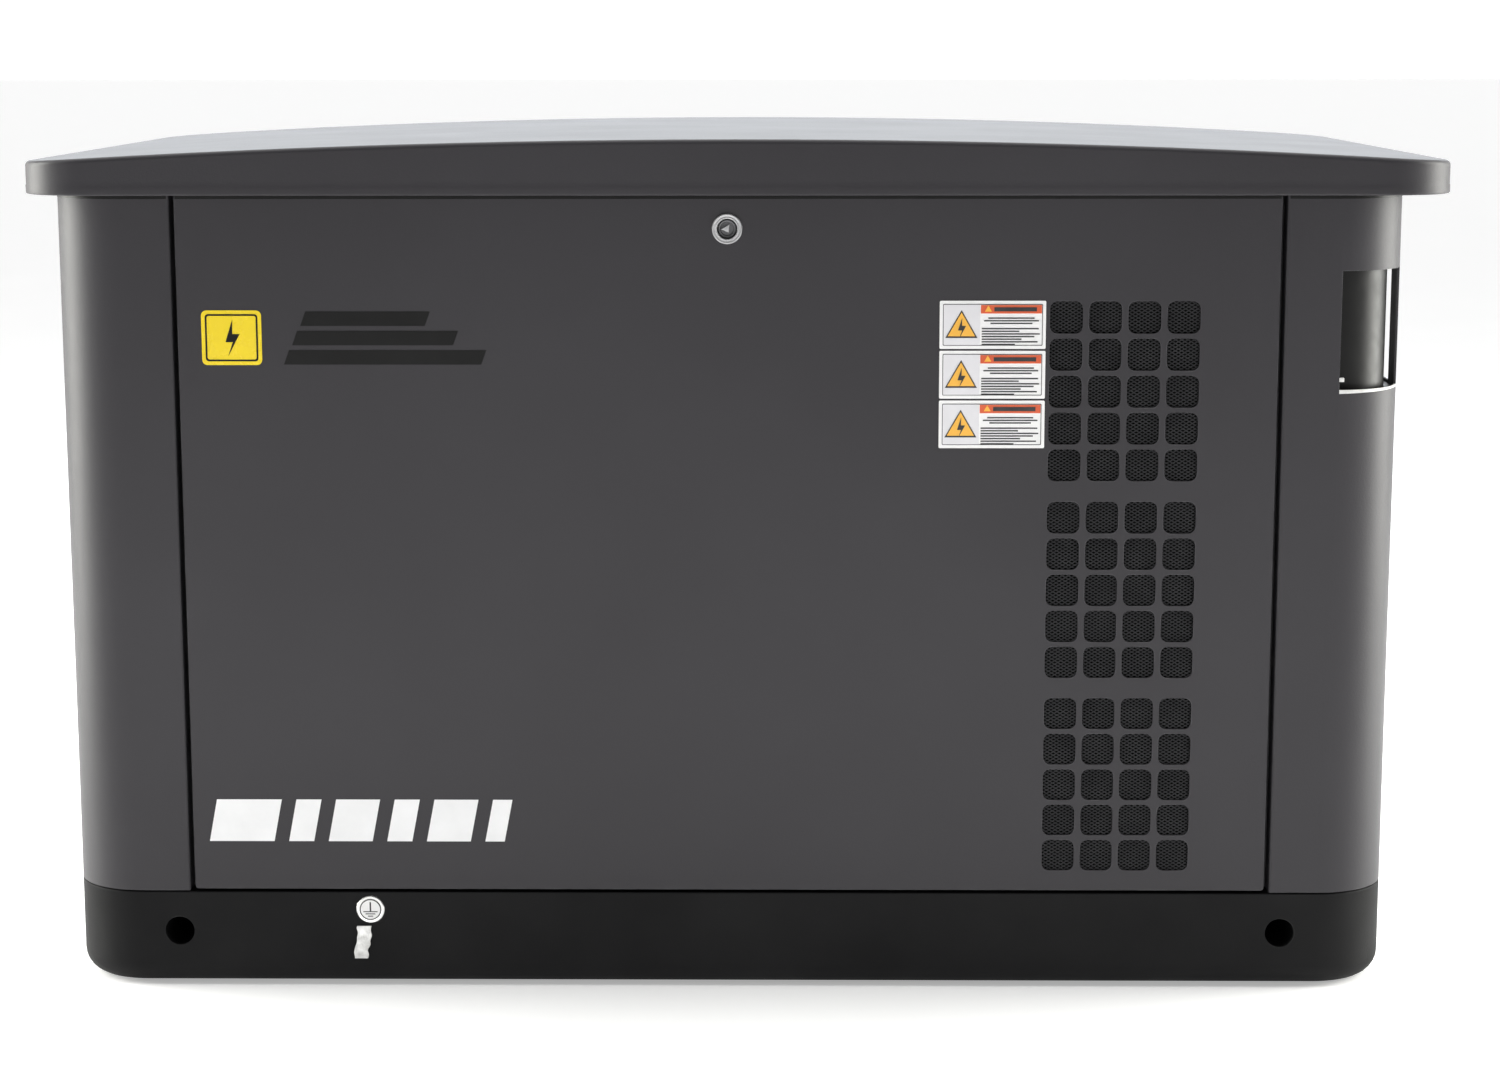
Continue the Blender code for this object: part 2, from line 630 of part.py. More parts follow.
def build_struts():
    """Gas struts: a tube swings on the end panel's stud, and a rod slides out of it to the lid's lug."""
    lower, upper, _ = strut_points()
    run = (upper - lower).normalized()
    closed_length = (upper - lower).length

    def at(distance, x):
        place = lower + run * distance
        return (x, place.x, place.y)

    for side, word in ((-1, "left"), (1, "right")):
        x = side * STRUT_X
        tube_part = cylinder(f"strut_tube_{word}", at(TUBE_START - 0.004, x), at(TUBE_END, x), 0.0090, 18)
        eye = cylinder("strut_eye", at(0, x - 0.005), at(0, x + 0.005), 0.0095, 18)
        stud_bore = cylinder("stud_bore", at(0, x - 0.012), at(0, x + 0.012), 0.0045, 12)
        rod_bore = cylinder("rod_bore", at(TUBE_BORE_END, x), at(TUBE_END + 0.01, x), 0.0046, 14)
        paint(cut(join(tube_part, eye), stud_bore, rod_bore), "engine_black")

        rod = cylinder(
            f"strut_rod_{word}", at(closed_length - ROD_LENGTH, x), at(closed_length - 0.004, x), 0.0040, 14
        )
        head = cylinder("rod_eye", at(closed_length, x - 0.005), at(closed_length, x + 0.005), 0.0080, 16)
        stud = cylinder(
            "rod_stud", at(closed_length, x), at(closed_length, side * (LUG_INNER_X - GAP)), 0.0035, 12
        )
        paint(join(rod, head, stud), "steel")


# ---------------------------------------------------------------- engine


def bank(word):
    """The frame of one cylinder: its origin on the crankshaft line, and its +Z along the bore."""
    lean = CYLINDER_LEAN if word == "front" else -CYLINDER_LEAN
    return Matrix.Translation((CYLINDER_X[word], 0, CRANK_Z)) @ Matrix.Rotation(lean, 4, "X")


def build_crankcase():
    profile = [
        (-0.100, 0.1855), (0.100, 0.1855), (0.130, 0.230), (0.130, 0.380), (0.072, 0.438),
        (-0.072, 0.438), (-0.130, 0.380), (-0.130, 0.230),
    ]
    case = plate("crankcase", [profile], CASE_LEFT, CASE_RIGHT, SIDE_PLANE)
    shaft_way = cylinder(
        "shaft_way", (CASE_LEFT - 0.01, 0, CRANK_Z), (CASE_RIGHT + 0.01, 0, CRANK_Z), 0.0305
    )
    filler = smooth_route(
        [(0.097, -0.125, 0.300), (0.100, -0.180, 0.325), (0.100, -0.235, 0.370), (0.100, -0.235, 0.470)],
        0.02,
    )
    filler_tube = tube("dipstick_tube", [*filler[:-1], (0.100, -0.235, 0.470)], 0.0085, 2)
    stick_way = cylinder("stick_way", (0.100, -0.235, 0.385), (0.100, -0.235, 0.480), 0.0045, 12)
    feet = [
        box("foot", (x, side * RAIL_Y - 0.020, 0.1855), (x + 0.050, side * RAIL_Y + 0.020, 0.200))
        for x in (CASE_LEFT, CASE_RIGHT - 0.050)
        for side in (-1, 1)
    ]
    paint(cut(join(case, filler_tube, *feet), shaft_way, stick_way), "cast_aluminium")


def boxes(name, corners, matrix):
    """Several boxes in one object, each given by its low and high corner."""
    shape = bmesh.new()
    for low, high in corners:
        low, high = Vector(low), Vector(high)
        place = Matrix.Translation((low + high) / 2) @ Matrix.Diagonal((*(high - low), 1))
        bmesh.ops.create_cube(shape, size=1.0, matrix=place)
    return from_bmesh(name, shape, matrix)


def build_cylinders():
    """Each finned barrel and head, with its rocker cover."""
    start, length, cover_height = 0.128, 0.136, 0.045
    for word in ("front", "rear"):
        frame = bank(word) @ Matrix.Translation((0, 0, start))
        barrel = box(f"cylinder_{word}", (-0.048, -0.048, 0.0), (0.048, 0.048, length - 0.010), frame)
        fins = [
            ((-0.064, -0.061, z), (0.064, 0.061, z + 0.0055)) for z in (0.005 + 0.0125 * i for i in range(8))
        ]
        head = box("head", (-0.058, -0.055, length - 0.026), (0.058, 0.055, length), frame)
        paint(join(barrel, boxes("fins", fins, frame), head), "cast_aluminium")
        base = start + length + GAP
        top = base + cover_height
        cover = box(f"rocker_cover_{word}", (-0.060, -0.055, base), (0.060, 0.055, top), bank(word))
        paint(round_edges(cover, 0.010), "engine_black")

    top += GAP
    seat, end = (bank("front") @ Vector((0.020, 0, z)) for z in (top, top + 0.018))
    grip = [bank("front") @ Vector((0.020, 0, z)) for z in (top + 0.016, top + 0.026)]
    cap = cylinder("oil_cap", seat, end, 0.019, 20)
    paint(join(cap, cylinder("oil_cap_grip", *grip, 0.013, 6)), "yellow_plastic")


def build_rotating_parts():
    """Flywheel fan, crankshaft and alternator rotor, which all turn together."""
    axis = (0, CRANK_Z)
    shaft = cylinder("crankshaft", (-0.435, *axis), (0.200, *axis), 0.020, 20)
    journal = cylinder("main_journal", (CASE_LEFT + 0.02, *axis), (CASE_RIGHT - 0.02, *axis), 0.028, 20)
    paint(join(shaft, journal), "steel")

    disc = cylinder("flywheel_fan", (0.1320, *axis), (0.1480, *axis), 0.135, 36)
    hub = cylinder("fan_hub", (0.140, *axis), (0.190, *axis), 0.040, 24)
    bore = cylinder("fan_bore", (0.125, *axis), (0.2003, *axis), 0.0203, 20)
    blades = []
    for i in range(14):
        turn = Matrix.Translation((0, 0, CRANK_Z)) @ Matrix.Rotation(math.tau * i / 14, 4, "X")
        tilt = Matrix.Translation((0, 0, 0.106)) @ Matrix.Rotation(math.radians(28), 4, "X")
        blades.append(box("blade", (0.146, -0.0015, -0.027), (0.186, 0.0015, 0.027), turn @ tilt))
    paint(cut(join(disc, hub, *blades), bore), "engine_black")

    core = cylinder(
        "alternator_rotor", (STATOR_LEFT + 0.030, *axis), (STATOR_RIGHT - 0.035, *axis), 0.085, 32
    )
    fan = cylinder("rotor_fan", (STATOR_RIGHT - 0.030, *axis), (STATOR_RIGHT - 0.010, *axis), 0.100, 32)
    neck = cylinder("rotor_neck", (STATOR_RIGHT - 0.040, *axis), (STATOR_RIGHT - 0.025, *axis), 0.045, 24)
    bore = cylinder("rotor_bore", (-0.500, *axis), (-0.100, *axis), 0.0203, 20)
    paint(cut(join(core, neck, fan), bore), "copper")


def build_alternator():
    axis = (0, CRANK_Z)
    stator = cylinder("stator_housing", (STATOR_LEFT, *axis), (STATOR_RIGHT, *axis), STATOR_RADIUS, 36)
    bore = cylinder("stator_bore", (STATOR_LEFT - 0.01, *axis), (STATOR_RIGHT - 0.008, *axis), 0.106, 32)
    shaft_way = cylinder("stator_way", (STATOR_RIGHT - 0.02, *axis), (STATOR_RIGHT + 0.01, *axis), 0.030)
    feet = [
        box(
            "stator_foot",
            (x, side * RAIL_Y - 0.020, RAIL_TOP + GAP),
            (x + 0.040, side * RAIL_Y + 0.020, 0.300),
        )
        for x in (STATOR_LEFT + 0.020, STATOR_RIGHT - 0.060)
        for side in (-1, 1)
    ]
    paint(cut(join(stator, *feet), bore, shaft_way), "engine_black")

    end = STATOR_LEFT - GAP
    cover = cylinder("alternator_end_cover", (end - 0.028, *axis), (end, *axis), 0.128, 32, 0.138)
    hub = cylinder("bearing_hub", (end - 0.042, *axis), (end - 0.020, *axis), 0.045, 24)
    bearing = cylinder("bearing_seat", (end - 0.030, *axis), (end + 0.005, *axis), 0.0206, 20)
    vents = []
    for i in range(8):
        turn = Matrix.Translation((0, 0, CRANK_Z)) @ Matrix.Rotation(math.tau * (i + 0.5) / 8, 4, "X")
        vents.append(box("vent", (end - 0.05, -0.020, 0.070), (end + 0.01, 0.020, 0.105), turn))
    paint(cut(join(cover, hub), bearing, *vents), "cast_aluminium")


def build_blower():
    """The fan shroud: a drum open towards the cylinders, with a ring of intake on the other side."""
    axis = (0, CRANK_Z)
    drum = cylinder("blower_housing", (BLOWER_LEFT, *axis), (BLOWER_RIGHT, *axis), BLOWER_RADIUS, 36)
    scoop = box(
        "scoop", (BLOWER_LEFT, -0.110, CRANK_Z + 0.080), (BLOWER_RIGHT - 0.015, 0.110, CRANK_Z + 0.185)
    )
    inside = cylinder(
        "inside", (BLOWER_LEFT - 0.01, *axis), (BLOWER_RIGHT - 0.004, *axis), BLOWER_RADIUS - 0.004, 36
    )
    throat = box(
        "throat", (BLOWER_LEFT - 0.01, -0.106, CRANK_Z + 0.060), (
            BLOWER_RIGHT - 0.019, 0.106, CRANK_Z + 0.181
        )
    )
    intake = cylinder("intake", (BLOWER_RIGHT - 0.02, *axis), (BLOWER_RIGHT + 0.01, *axis), 0.100, 32)
    paint(cut(join(drum, scoop), inside, throat, intake), "engine_black")


def build_engine_fittings():
    oil = cylinder("oil_filter", (-0.085, -0.1303, 0.270), (-0.085, -0.225, 0.270), 0.038, 24)
    paint(round_edges(oil, 0.006), "orange_filter")

    starter = cylinder("starter_motor", (-0.030, -0.172, 0.245), (0.1195, -0.172, 0.245), 0.036, 24)
    solenoid = cylinder("solenoid", (0.000, -0.172, 0.2975), (0.084, -0.172, 0.2975), 0.020, 18)
    saddle = box("solenoid_saddle", (0.030, -0.182, 0.270), (0.080, -0.162, 0.290))
    paint(join(starter, solenoid, saddle), "engine_black")

    stick = cylinder("dipstick", (0.100, -0.235, 0.400), (0.100, -0.235, 0.485), 0.0025, 10)
    cap = cylinder("dipstick_cap", (0.100, -0.235, 0.4715), (0.100, -0.235, 0.4950), 0.0120, 16)
    ring = cylinder("dipstick_ring", (0.100, -0.241, 0.5050), (0.100, -0.229, 0.5050), 0.0160, 18)
    ring_hole = cylinder("ring_hole", (0.100, -0.250, 0.5050), (0.100, -0.220, 0.5050), 0.0090, 16)
    paint(cut(join(stick, cap, ring), ring_hole), "yellow_plastic")

    mixer = cylinder("gas_mixer", (-0.010, 0, 0.4700), (-0.010, 0, 0.6000), 0.030, 24)
    plenum = box("plenum", (-0.060, -0.032, 0.4550), (0.040, 0.032, 0.5050))
    stepper = box("throttle_motor", (0.010, -0.018, 0.5300), (0.050, 0.018, 0.5650))
    paint(join(mixer, plenum, stepper), "cast_aluminium")

    tray = box("air_cleaner_base", (-0.130, -0.104, 0.6003), (0.110, 0.104, 0.6300))
    paint(round_edges(tray, 0.004, 1), "black_plastic")
    cover = box("air_cleaner_cover", (-0.136, -0.110, 0.6303), (0.116, 0.110, 0.6980))
    paint(round_edges(cover, 0.014), "black_plastic")


def build_exhaust():
    """One pipe from each head to the muffler, which stands across the right end."""
    for side, word in ((-1, "front"), (1, "rear")):
        port = bank(word) @ Vector((0.0583, 0, 0.249))
        y = side * PIPE_Y
        bend = 0.030
        knots = [
            port,
            port + Vector((0.022, 0, 0)),
            (0.150, side * 0.192, 0.508),
            (0.215, y, PIPE_Z),
            (PARTITION_X - 0.03, y, PIPE_Z),
            (MUFFLER_X - bend, y, PIPE_Z),
            (MUFFLER_X - 0.2 * bend, y, PIPE_Z - 0.2 * bend),
            (MUFFLER_X, y, PIPE_Z - bend),
        ]
        points = [*smooth_route(knots, 0.03), (MUFFLER_X, y, MUFFLER_Z + MUFFLER_RADIUS + GAP)]
        paint(tube(f"exhaust_pipe_{word}", points, PIPE_RADIUS, 3), "heat_steel")

    muffler = cylinder(
        "muffler", (MUFFLER_X, -0.240, MUFFLER_Z), (MUFFLER_X, 0.240, MUFFLER_Z), MUFFLER_RADIUS, 28
    )
    round_edges(muffler, 0.006)
    chamber = cylinder("chamber", (MUFFLER_X, -0.236, MUFFLER_Z), (MUFFLER_X, 0.236, MUFFLER_Z), 0.056, 24)
    base = MUFFLER_Z + 0.050
    tail = smooth_route(
        [(MUFFLER_X, 0, base), (MUFFLER_X, 0, 0.540), (0.547, 0, 0.578), (0.583, 0, 0.592)], 0.03
    )
    way = smooth_route(
        [(MUFFLER_X, 0, base - 0.02), (MUFFLER_X, 0, 0.540), (0.547, 0, 0.578), (0.600, 0, 0.599)], 0.03
    )
    tailpipe = tube("tailpipe", tail, 0.020, 3)
    paint(cut(join(muffler, tailpipe), chamber, tube("tail_way", way, 0.0175, 3)), "heat_steel")


def build_cradle():
    """Two channel rails on four rubber mounts carry the engine and the alternator."""
    left, right = -0.440, 0.150
    for side, word in ((-1, "front"), (1, "rear")):
        y = side * RAIL_Y
        rail = box(f"cradle_rail_{word}", (left, y - 0.025, RAIL_BOTTOM), (right, y + 0.025, RAIL_TOP))
        hollow = box(
            "rail_hollow",
            (left - 0.01, y - 0.021, RAIL_BOTTOM - 0.01),
            (right + 0.01, y + 0.021, RAIL_TOP - 0.004),
        )
        paint(cut(rail, hollow), "engine_black")
        for x, end in ((left + 0.040, "left"), (right - 0.040, "right")):
            low, waist, high = BASE_HEIGHT + GAP, 0.140, RAIL_TOP - 0.004 - GAP
            mount = cylinder(f"vibration_mount_{word}_{end}", (x, y, low), (x, y, waist), 0.026, 20, 0.018)
            paint(
                join(mount, cylinder("mount_top", (x, y, waist - 0.005), (x, y, high), 0.018, 20)), "rubber"
            )


# ---------------------------------------------------------------- fuel, battery and controls


def build_gas_train():
    """Inlet through the back, riser to the demand regulator, and the hose to the mixer."""
    inlet = cylinder("gas_inlet", (GAS_X, 0.255, GAS_INLET_Z), (GAS_X, 0.380, GAS_INLET_Z), 0.0175, 24)
    collar = cylinder(
        "inlet_collar", (GAS_X, REAR + GAP, GAS_INLET_Z), (GAS_X, REAR + 0.009, GAS_INLET_Z), 0.0275, 6
    )
    mouth = cylinder("inlet_mouth", (GAS_X, 0.350, GAS_INLET_Z), (GAS_X, 0.400, GAS_INLET_Z), 0.0133, 48)
    riser = cylinder(
        "gas_riser", (GAS_X, 0.272, GAS_INLET_Z), (GAS_X, 0.272, REGULATOR_Z - 0.066), 0.0110, 16
    )
    paint(cut(join(inlet, collar, riser), mouth), "zinc")

    regulator = cylinder(
        "gas_regulator", (GAS_X, 0.245, REGULATOR_Z), (GAS_X, 0.300, REGULATOR_Z), 0.065, 32
    )
    round_edges(regulator, 0.005)
    boss = cylinder(
        "regulator_boss", (GAS_X, 0.290, REGULATOR_Z), (GAS_X, REAR - SHEET - GAP, REGULATOR_Z), 0.025, 20
    )
    cap = cylinder("spring_cap", (GAS_X, 0.250, REGULATOR_Z), (GAS_X, 0.225, REGULATOR_Z), 0.022, 20)
    outlet = cylinder(
        "outlet", (GAS_X + 0.035, 0.262, REGULATOR_Z), (GAS_X + 0.090, 0.262, REGULATOR_Z), 0.0120, 16
    )
    paint(join(regulator, boss, cap, outlet), "cast_aluminium")

    start = GAS_X + 0.0915
    knots = [
        (start, 0.262, REGULATOR_Z), (start + 0.018, 0.262, REGULATOR_Z), (-0.165, 0.215, 0.552),
        (-0.150, 0.140, 0.558), (-0.125, 0.060, 0.560), (-0.085, 0.012, 0.557), (-0.060, 0.000, 0.555),
        (-0.0403, 0.000, 0.555),
    ]
    paint(tube("gas_hose", smooth_route(knots, 0.022), 0.0100, 2), "rubber")


BATTERY_LOW, BATTERY_HIGH = (-0.600, -0.318, BASE_HEIGHT + GAP), (-0.400, -0.150, 0.275)
TERMINAL_TOP = BATTERY_HIGH[2] + 0.016


def build_battery():
    battery = round_edges(box("battery", BATTERY_LOW, BATTERY_HIGH), 0.005, 1)
    for x in (-0.565, -0.435):
        battery_post = cylinder(
            "terminal", (x, -0.285, BATTERY_HIGH[2] - 0.01), (x, -0.285, TERMINAL_TOP), 0.0090, 16
        )
        join(battery, battery_post)
    paint(battery, "battery_case")

    low, high = TERMINAL_TOP - 0.004, TERMINAL_TOP + 0.012
    routes = {
        "battery_cable_positive": (
            (-0.435, -0.285),
            [
                (-0.4250, -0.285, 0.302), (-0.370, -0.285, 0.302), (-0.300, -0.270, 0.250),
                (-0.200, -0.250, 0.205), (-0.110, -0.248, 0.205), (-0.068, -0.228, 0.224),
                (-0.046, -0.200, 0.245), (-0.0345, -0.192, 0.250),
            ],
        ),
        "battery_cable_negative": (
            (-0.565, -0.285),
            [
                (-0.565, -0.275, 0.302), (-0.565, -0.230, 0.300), (-0.545, -0.175, 0.310),
                (-0.480, -0.130, 0.250), (-0.466, -0.118, 0.190), (-0.456, -0.115, 0.162),
                (-0.4445, -0.115, 0.160),
            ],
        ),
    }
    for name, ((x, y), knots) in routes.items():
        cable = tube(name, smooth_route(knots, 0.018), 0.0055, 2)
        clamp = cylinder("clamp", (x, y, low), (x, y, high), 0.0145, 16)
        seat = cylinder("clamp_seat", (x, y, low - 0.01), (x, y, TERMINAL_TOP + GAP), 0.0093, 16)
        paint(cut(join(cable, clamp), seat), "red_plastic" if "positive" in name else "rubber")


def switch_frame(x, along_slope=0.0):
    """A frame on the control box's sloping face, with +Z out of it and +Y up the slope."""
    low, high = Vector(BOX_PROFILE[4]), Vector(BOX_PROFILE[3])
    middle, up = (low + high) / 2, (high - low).normalized()
    place = middle + up * along_slope
    out = Vector((0, -up.y, up.x))
    turn = Matrix((Vector((1, 0, 0)), Vector((0, up.x, up.y)), out)).transposed().to_4x4()
    return Matrix.Translation((x, place.x, place.y)) @ turn


def knob(name, frame, low, high, radius, sides=24):
    return cylinder(name, frame @ Vector((0, 0, low)), frame @ Vector((0, 0, high)), radius, sides)


def build_controls():
    control = plate("control_box", [BOX_PROFILE], BOX_LEFT, BOX_RIGHT, SIDE_PLANE)
    mode, stop, breaker = switch_frame(-0.405, -0.030), switch_frame(-0.345, -0.020), switch_frame(-0.300)
    recesses = [
        knob("mode_recess", mode, -SWITCH_RECESS, 0.01, 0.0105, 20),
        knob("stop_recess", stop, -SWITCH_RECESS - 0.006, 0.01, 0.0110, 20),
        box("breaker_recess", (-0.0060, -0.026, -0.012), (0.0060, 0.026, 0.01), breaker),
        box("screen_recess", (-0.045, -0.026, -0.003), (0.045, 0.026, 0.01), switch_frame(-0.490, 0.012)),
    ]
    breaker_body = box("breaker_body", (-0.018, -0.040, -0.005), (0.018, 0.040, 0.006), breaker)
    paint(cut(join(control, breaker_body), *recesses), "control_plastic")

    dial = knob("mode_switch", mode, GAP, 0.012, 0.0150, 20)
    pointer = box("pointer", (-0.0030, -0.0160, 0.010), (0.0030, 0.0160, 0.020), mode)
    stem = knob("mode_stem", mode, -SWITCH_RECESS + GAP, 0.005, 0.0080, 16)
    paint(join(dial, pointer, stem), "black_plastic")

    mushroom = round_edges(knob("emergency_stop", stop, 0.009, 0.022, 0.0180, 24), 0.004)
    stem = knob("stop_stem", stop, -0.006, 0.012, 0.0095, 16)
    paint(join(mushroom, stem), "red_plastic")

    pivot = breaker @ Matrix.Translation((0, 0, -0.004)) @ Matrix.Rotation(math.radians(22), 4, "X")
    handle = box("breaker_toggle", (-0.0045, -0.0035, -0.004), (0.0045, 0.0035, 0.022), pivot)
    paint(round_edges(handle, 0.001, 1), "black_plastic")


# ---------------------------------------------------------------- the whole machine

for build in (
    build_base, build_end_panels, build_baffle, build_front_panel, build_lock, build_rear_panel,
    build_top_frame, build_partition, build_earth_strap, build_lid, build_hinges, build_struts,
    build_crankcase, build_cylinders, build_rotating_parts, build_alternator, build_blower,
    build_engine_fittings, build_exhaust, build_cradle, build_gas_train, build_battery,
    build_controls,
):
    build()
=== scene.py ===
"""The looks of the home standby generator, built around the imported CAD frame.

Metres, in the CAD's own frame: +X is to the right seen from the front, -Y is out of the front door, +Z is up.
"""

import json
import math

import bmesh
import bpy
from mathutils import Matrix, Vector


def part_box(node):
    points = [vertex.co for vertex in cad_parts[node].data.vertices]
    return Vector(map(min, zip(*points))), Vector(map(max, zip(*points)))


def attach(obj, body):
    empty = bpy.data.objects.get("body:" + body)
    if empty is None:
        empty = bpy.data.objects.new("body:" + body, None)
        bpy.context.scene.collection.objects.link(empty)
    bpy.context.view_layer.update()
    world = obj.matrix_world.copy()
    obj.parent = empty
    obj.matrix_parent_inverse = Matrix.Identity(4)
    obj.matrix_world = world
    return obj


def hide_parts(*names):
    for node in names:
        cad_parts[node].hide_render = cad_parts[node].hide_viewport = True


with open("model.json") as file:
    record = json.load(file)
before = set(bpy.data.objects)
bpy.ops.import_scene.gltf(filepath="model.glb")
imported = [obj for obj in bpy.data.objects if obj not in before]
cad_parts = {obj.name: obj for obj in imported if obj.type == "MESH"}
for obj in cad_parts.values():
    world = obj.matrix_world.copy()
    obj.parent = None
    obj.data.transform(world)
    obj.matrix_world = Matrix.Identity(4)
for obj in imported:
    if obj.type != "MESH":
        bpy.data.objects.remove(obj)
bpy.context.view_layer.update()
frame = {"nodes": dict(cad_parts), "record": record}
NODES = frame["nodes"]

# ---------------------------------------------------------------- sizes taken from the frame

PANEL_LOW, PANEL_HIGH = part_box("front_panel")
LID_LOW, LID_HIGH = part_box("lid")
BASE_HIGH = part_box("base_pan")[1]
FRONT = PANEL_LOW.y
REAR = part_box("rear_panel")[1].y
END = BASE_HIGH.x
LOCK = sum(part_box("lock_housing"), Vector()) / 2
RIGHT, LEFT, BACK, OUT, UP = (1, 0, 0), (-1, 0, 0), (0, 1, 0), (0, -1, 0), (0, 0, 1)
SIDES = ((-1, "left"), (1, "right"))

# ---------------------------------------------------------------- node helpers


class Material:
    """A Principled material under construction: short names for the nodes it uses again and again."""

    def __init__(self, name):
        self.material = bpy.data.materials.new(name)
        self.material.use_nodes = True
        self.tree = self.material.node_tree
        self.shader = self.tree.nodes["Principled BSDF"]
        self.coordinates = self.node("ShaderNodeTexCoord").outputs["Object"]

    def node(self, kind, **values):
        made = self.tree.nodes.new(kind)
        for key, value in values.items():
            setattr(made, key, value)
        return made

    def link(self, source, target):
        self.tree.links.new(source, target)

    def noise(self, scale, detail=3.0, roughness=0.55, stretch=None):
        texture = self.node("ShaderNodeTexNoise")
        texture.inputs["Scale"].default_value = scale
        texture.inputs["Detail"].default_value = detail
        texture.inputs["Roughness"].default_value = roughness
        self.link(self.stretched(stretch), texture.inputs["Vector"])
        return texture.outputs["Fac"]

    def cells(self, scale, stretch=None, feature="F1", output="Distance"):
        texture = self.node("ShaderNodeTexVoronoi", feature=feature)
        texture.inputs["Scale"].default_value = scale
        self.link(self.stretched(stretch), texture.inputs["Vector"])
        return texture.outputs[output]

    def stretched(self, stretch):
        if stretch is None:
            return self.coordinates
        mapping = self.node("ShaderNodeMapping")
        mapping.inputs["Scale"].default_value = stretch
        self.link(self.coordinates, mapping.inputs["Vector"])
        return mapping.outputs["Vector"]

    def spread(self, value, low, high, out_low=0.0, out_high=1.0):
        """Maps low..high of a value to out_low..out_high, clamped."""
        remap = self.node("ShaderNodeMapRange", clamp=True)
        for key, number in zip(("From Min", "From Max", "To Min", "To Max"), (low, high, out_low, out_high)):
            remap.inputs[key].default_value = number
        self.link(value, remap.inputs["Value"])
        return remap.outputs["Result"]

    def mix(self, factor, first, second):
        """A colour between two colours. Each is a tuple or another node's output."""
        blend = self.node("ShaderNodeMix", data_type="RGBA")
        self.link(factor, blend.inputs["Factor"])
        for name, value in (("A", first), ("B", second)):
            socket = [s for s in blend.inputs if s.name == name and s.type == "RGBA"][0]
            if isinstance(value, tuple):
                socket.default_value = (*value, 1.0)
            else:
                self.link(value, socket)
        return [s for s in blend.outputs if s.type == "RGBA"][0]

    def math(self, operation, first, second):
        made = self.node("ShaderNodeMath", operation=operation)
        for socket, value in zip(made.inputs, (first, second)):
            if isinstance(value, (int, float)):
                socket.default_value = value
            else:
                self.link(value, socket)
        return made.outputs[0]

    def edges(self, radius=0.0015):
        """0 on flat faces, 1 where the surface turns sharply, from the difference of rounded and true normals."""
        bevel = self.node("ShaderNodeBevel", samples=4)
        bevel.inputs["Radius"].default_value = radius
        true = self.node("ShaderNodeNewGeometry").outputs["Normal"]
        dot = self.node("ShaderNodeVectorMath", operation="DOT_PRODUCT")
        self.link(bevel.outputs["Normal"], dot.inputs[0])
        self.link(true, dot.inputs[1])
        return self.spread(dot.outputs["Value"], 0.98, 0.80)

    def colour(self, value):
        if isinstance(value, tuple):
            self.shader.inputs["Base Color"].default_value = (*value, 1.0)
        else:
            self.link(value, self.shader.inputs["Base Color"])
        return self

    def fix(self, socket, value):
        """Sets one of the shader's own sockets to a constant."""
        self.shader.inputs[socket].default_value = value

    def bump(self, *layers):
        """Stacks (height, distance) layers of bump on the shader's normal."""
        normal = None
        for height, distance in layers:
            made = self.node("ShaderNodeBump")
            made.inputs["Distance"].default_value = distance
            made.inputs["Strength"].default_value = 1.0
            self.link(height, made.inputs["Height"])
            if normal is not None:
                self.link(normal, made.inputs["Normal"])
            normal = made.outputs["Normal"]
        self.link(normal, self.shader.inputs["Normal"])
        return self


# ---------------------------------------------------------------- materials


def surface(
    name, colour, second, roughness, metallic=0.0, cloud=6.0, spread=0.06, grains=(), worn=None, stretch=None,
    specular=None,
):
    """A finish whose tone and roughness drift over the piece, with (scale, height) layers of grain and rubbed edges."""
    m = Material(name)
    tone = m.mix(m.spread(m.noise(cloud, 4.0, stretch=stretch), 0.32, 0.68), colour, second)
    if worn:
        rub = m.math("MULTIPLY", m.edges(), m.spread(m.noise(45.0, 5.0), 0.45, 0.60))
        tone = m.mix(m.math("MULTIPLY", rub, 0.5), tone, worn)
    m.colour(tone)
    drift = m.noise(cloud * 3.0, 5.0, stretch=stretch)
    m.link(m.spread(drift, 0.3, 0.7, roughness - spread, roughness + spread), m.shader.inputs["Roughness"])
    m.fix("Metallic", metallic)
    if specular is not None:
        m.fix("Specular IOR Level", specular)
    if grains:
        m.bump(*[(m.noise(scale, 2.0, stretch=stretch), height) for scale, height in grains])
    return m


def heat_stained():
    """Stainless pipe: straw, brown and blue bands of heat tint over a brushed ground."""
    m = surface("heat_steel", (0.42, 0.38, 0.33), (0.30, 0.25, 0.21), 0.34, 1.0, 9.0, grains=((260.0, 0.00005),))
    ramp = m.node("ShaderNodeValToRGB")
    stops = ramp.color_ramp.elements
    stops[0].position, stops[0].color = 0.30, (0.43, 0.40, 0.36, 1.0)
    stops[1].position, stops[1].color = 0.72, (0.24, 0.25, 0.32, 1.0)
    for place, tint in ((0.45, (0.46, 0.36, 0.22)), (0.58, (0.30, 0.20, 0.17))):
        stops.new(place).color = (*tint, 1.0)
    m.link(m.noise(5.0, 3.0), ramp.inputs["Fac"])
    m.colour(ramp.outputs["Color"])
    return m


def foamed(name, colour, second, roughness, cells, pits, **rest):
    """Open-cell foam. pits are the heights of its cells and of its slow swell."""
    m = surface(name, colour, second, roughness, cloud=18.0, spread=0.04, **rest)
    m.bump((m.cells(cells), pits[0]), (m.noise(60.0, 3.0), pits[1]))
    return m


def filter_mat():
    """Reticulated black foam behind the grille, near-black with little shine: its own black, and painted shade for the
    dark inside behind the grille.
    """
    dark, light = (0.004, 0.004, 0.004), (0.008, 0.008, 0.008)
    return foamed("filter_mat", dark, light, 0.95, 520.0, (0.0010, 0.0010), specular=0.1)


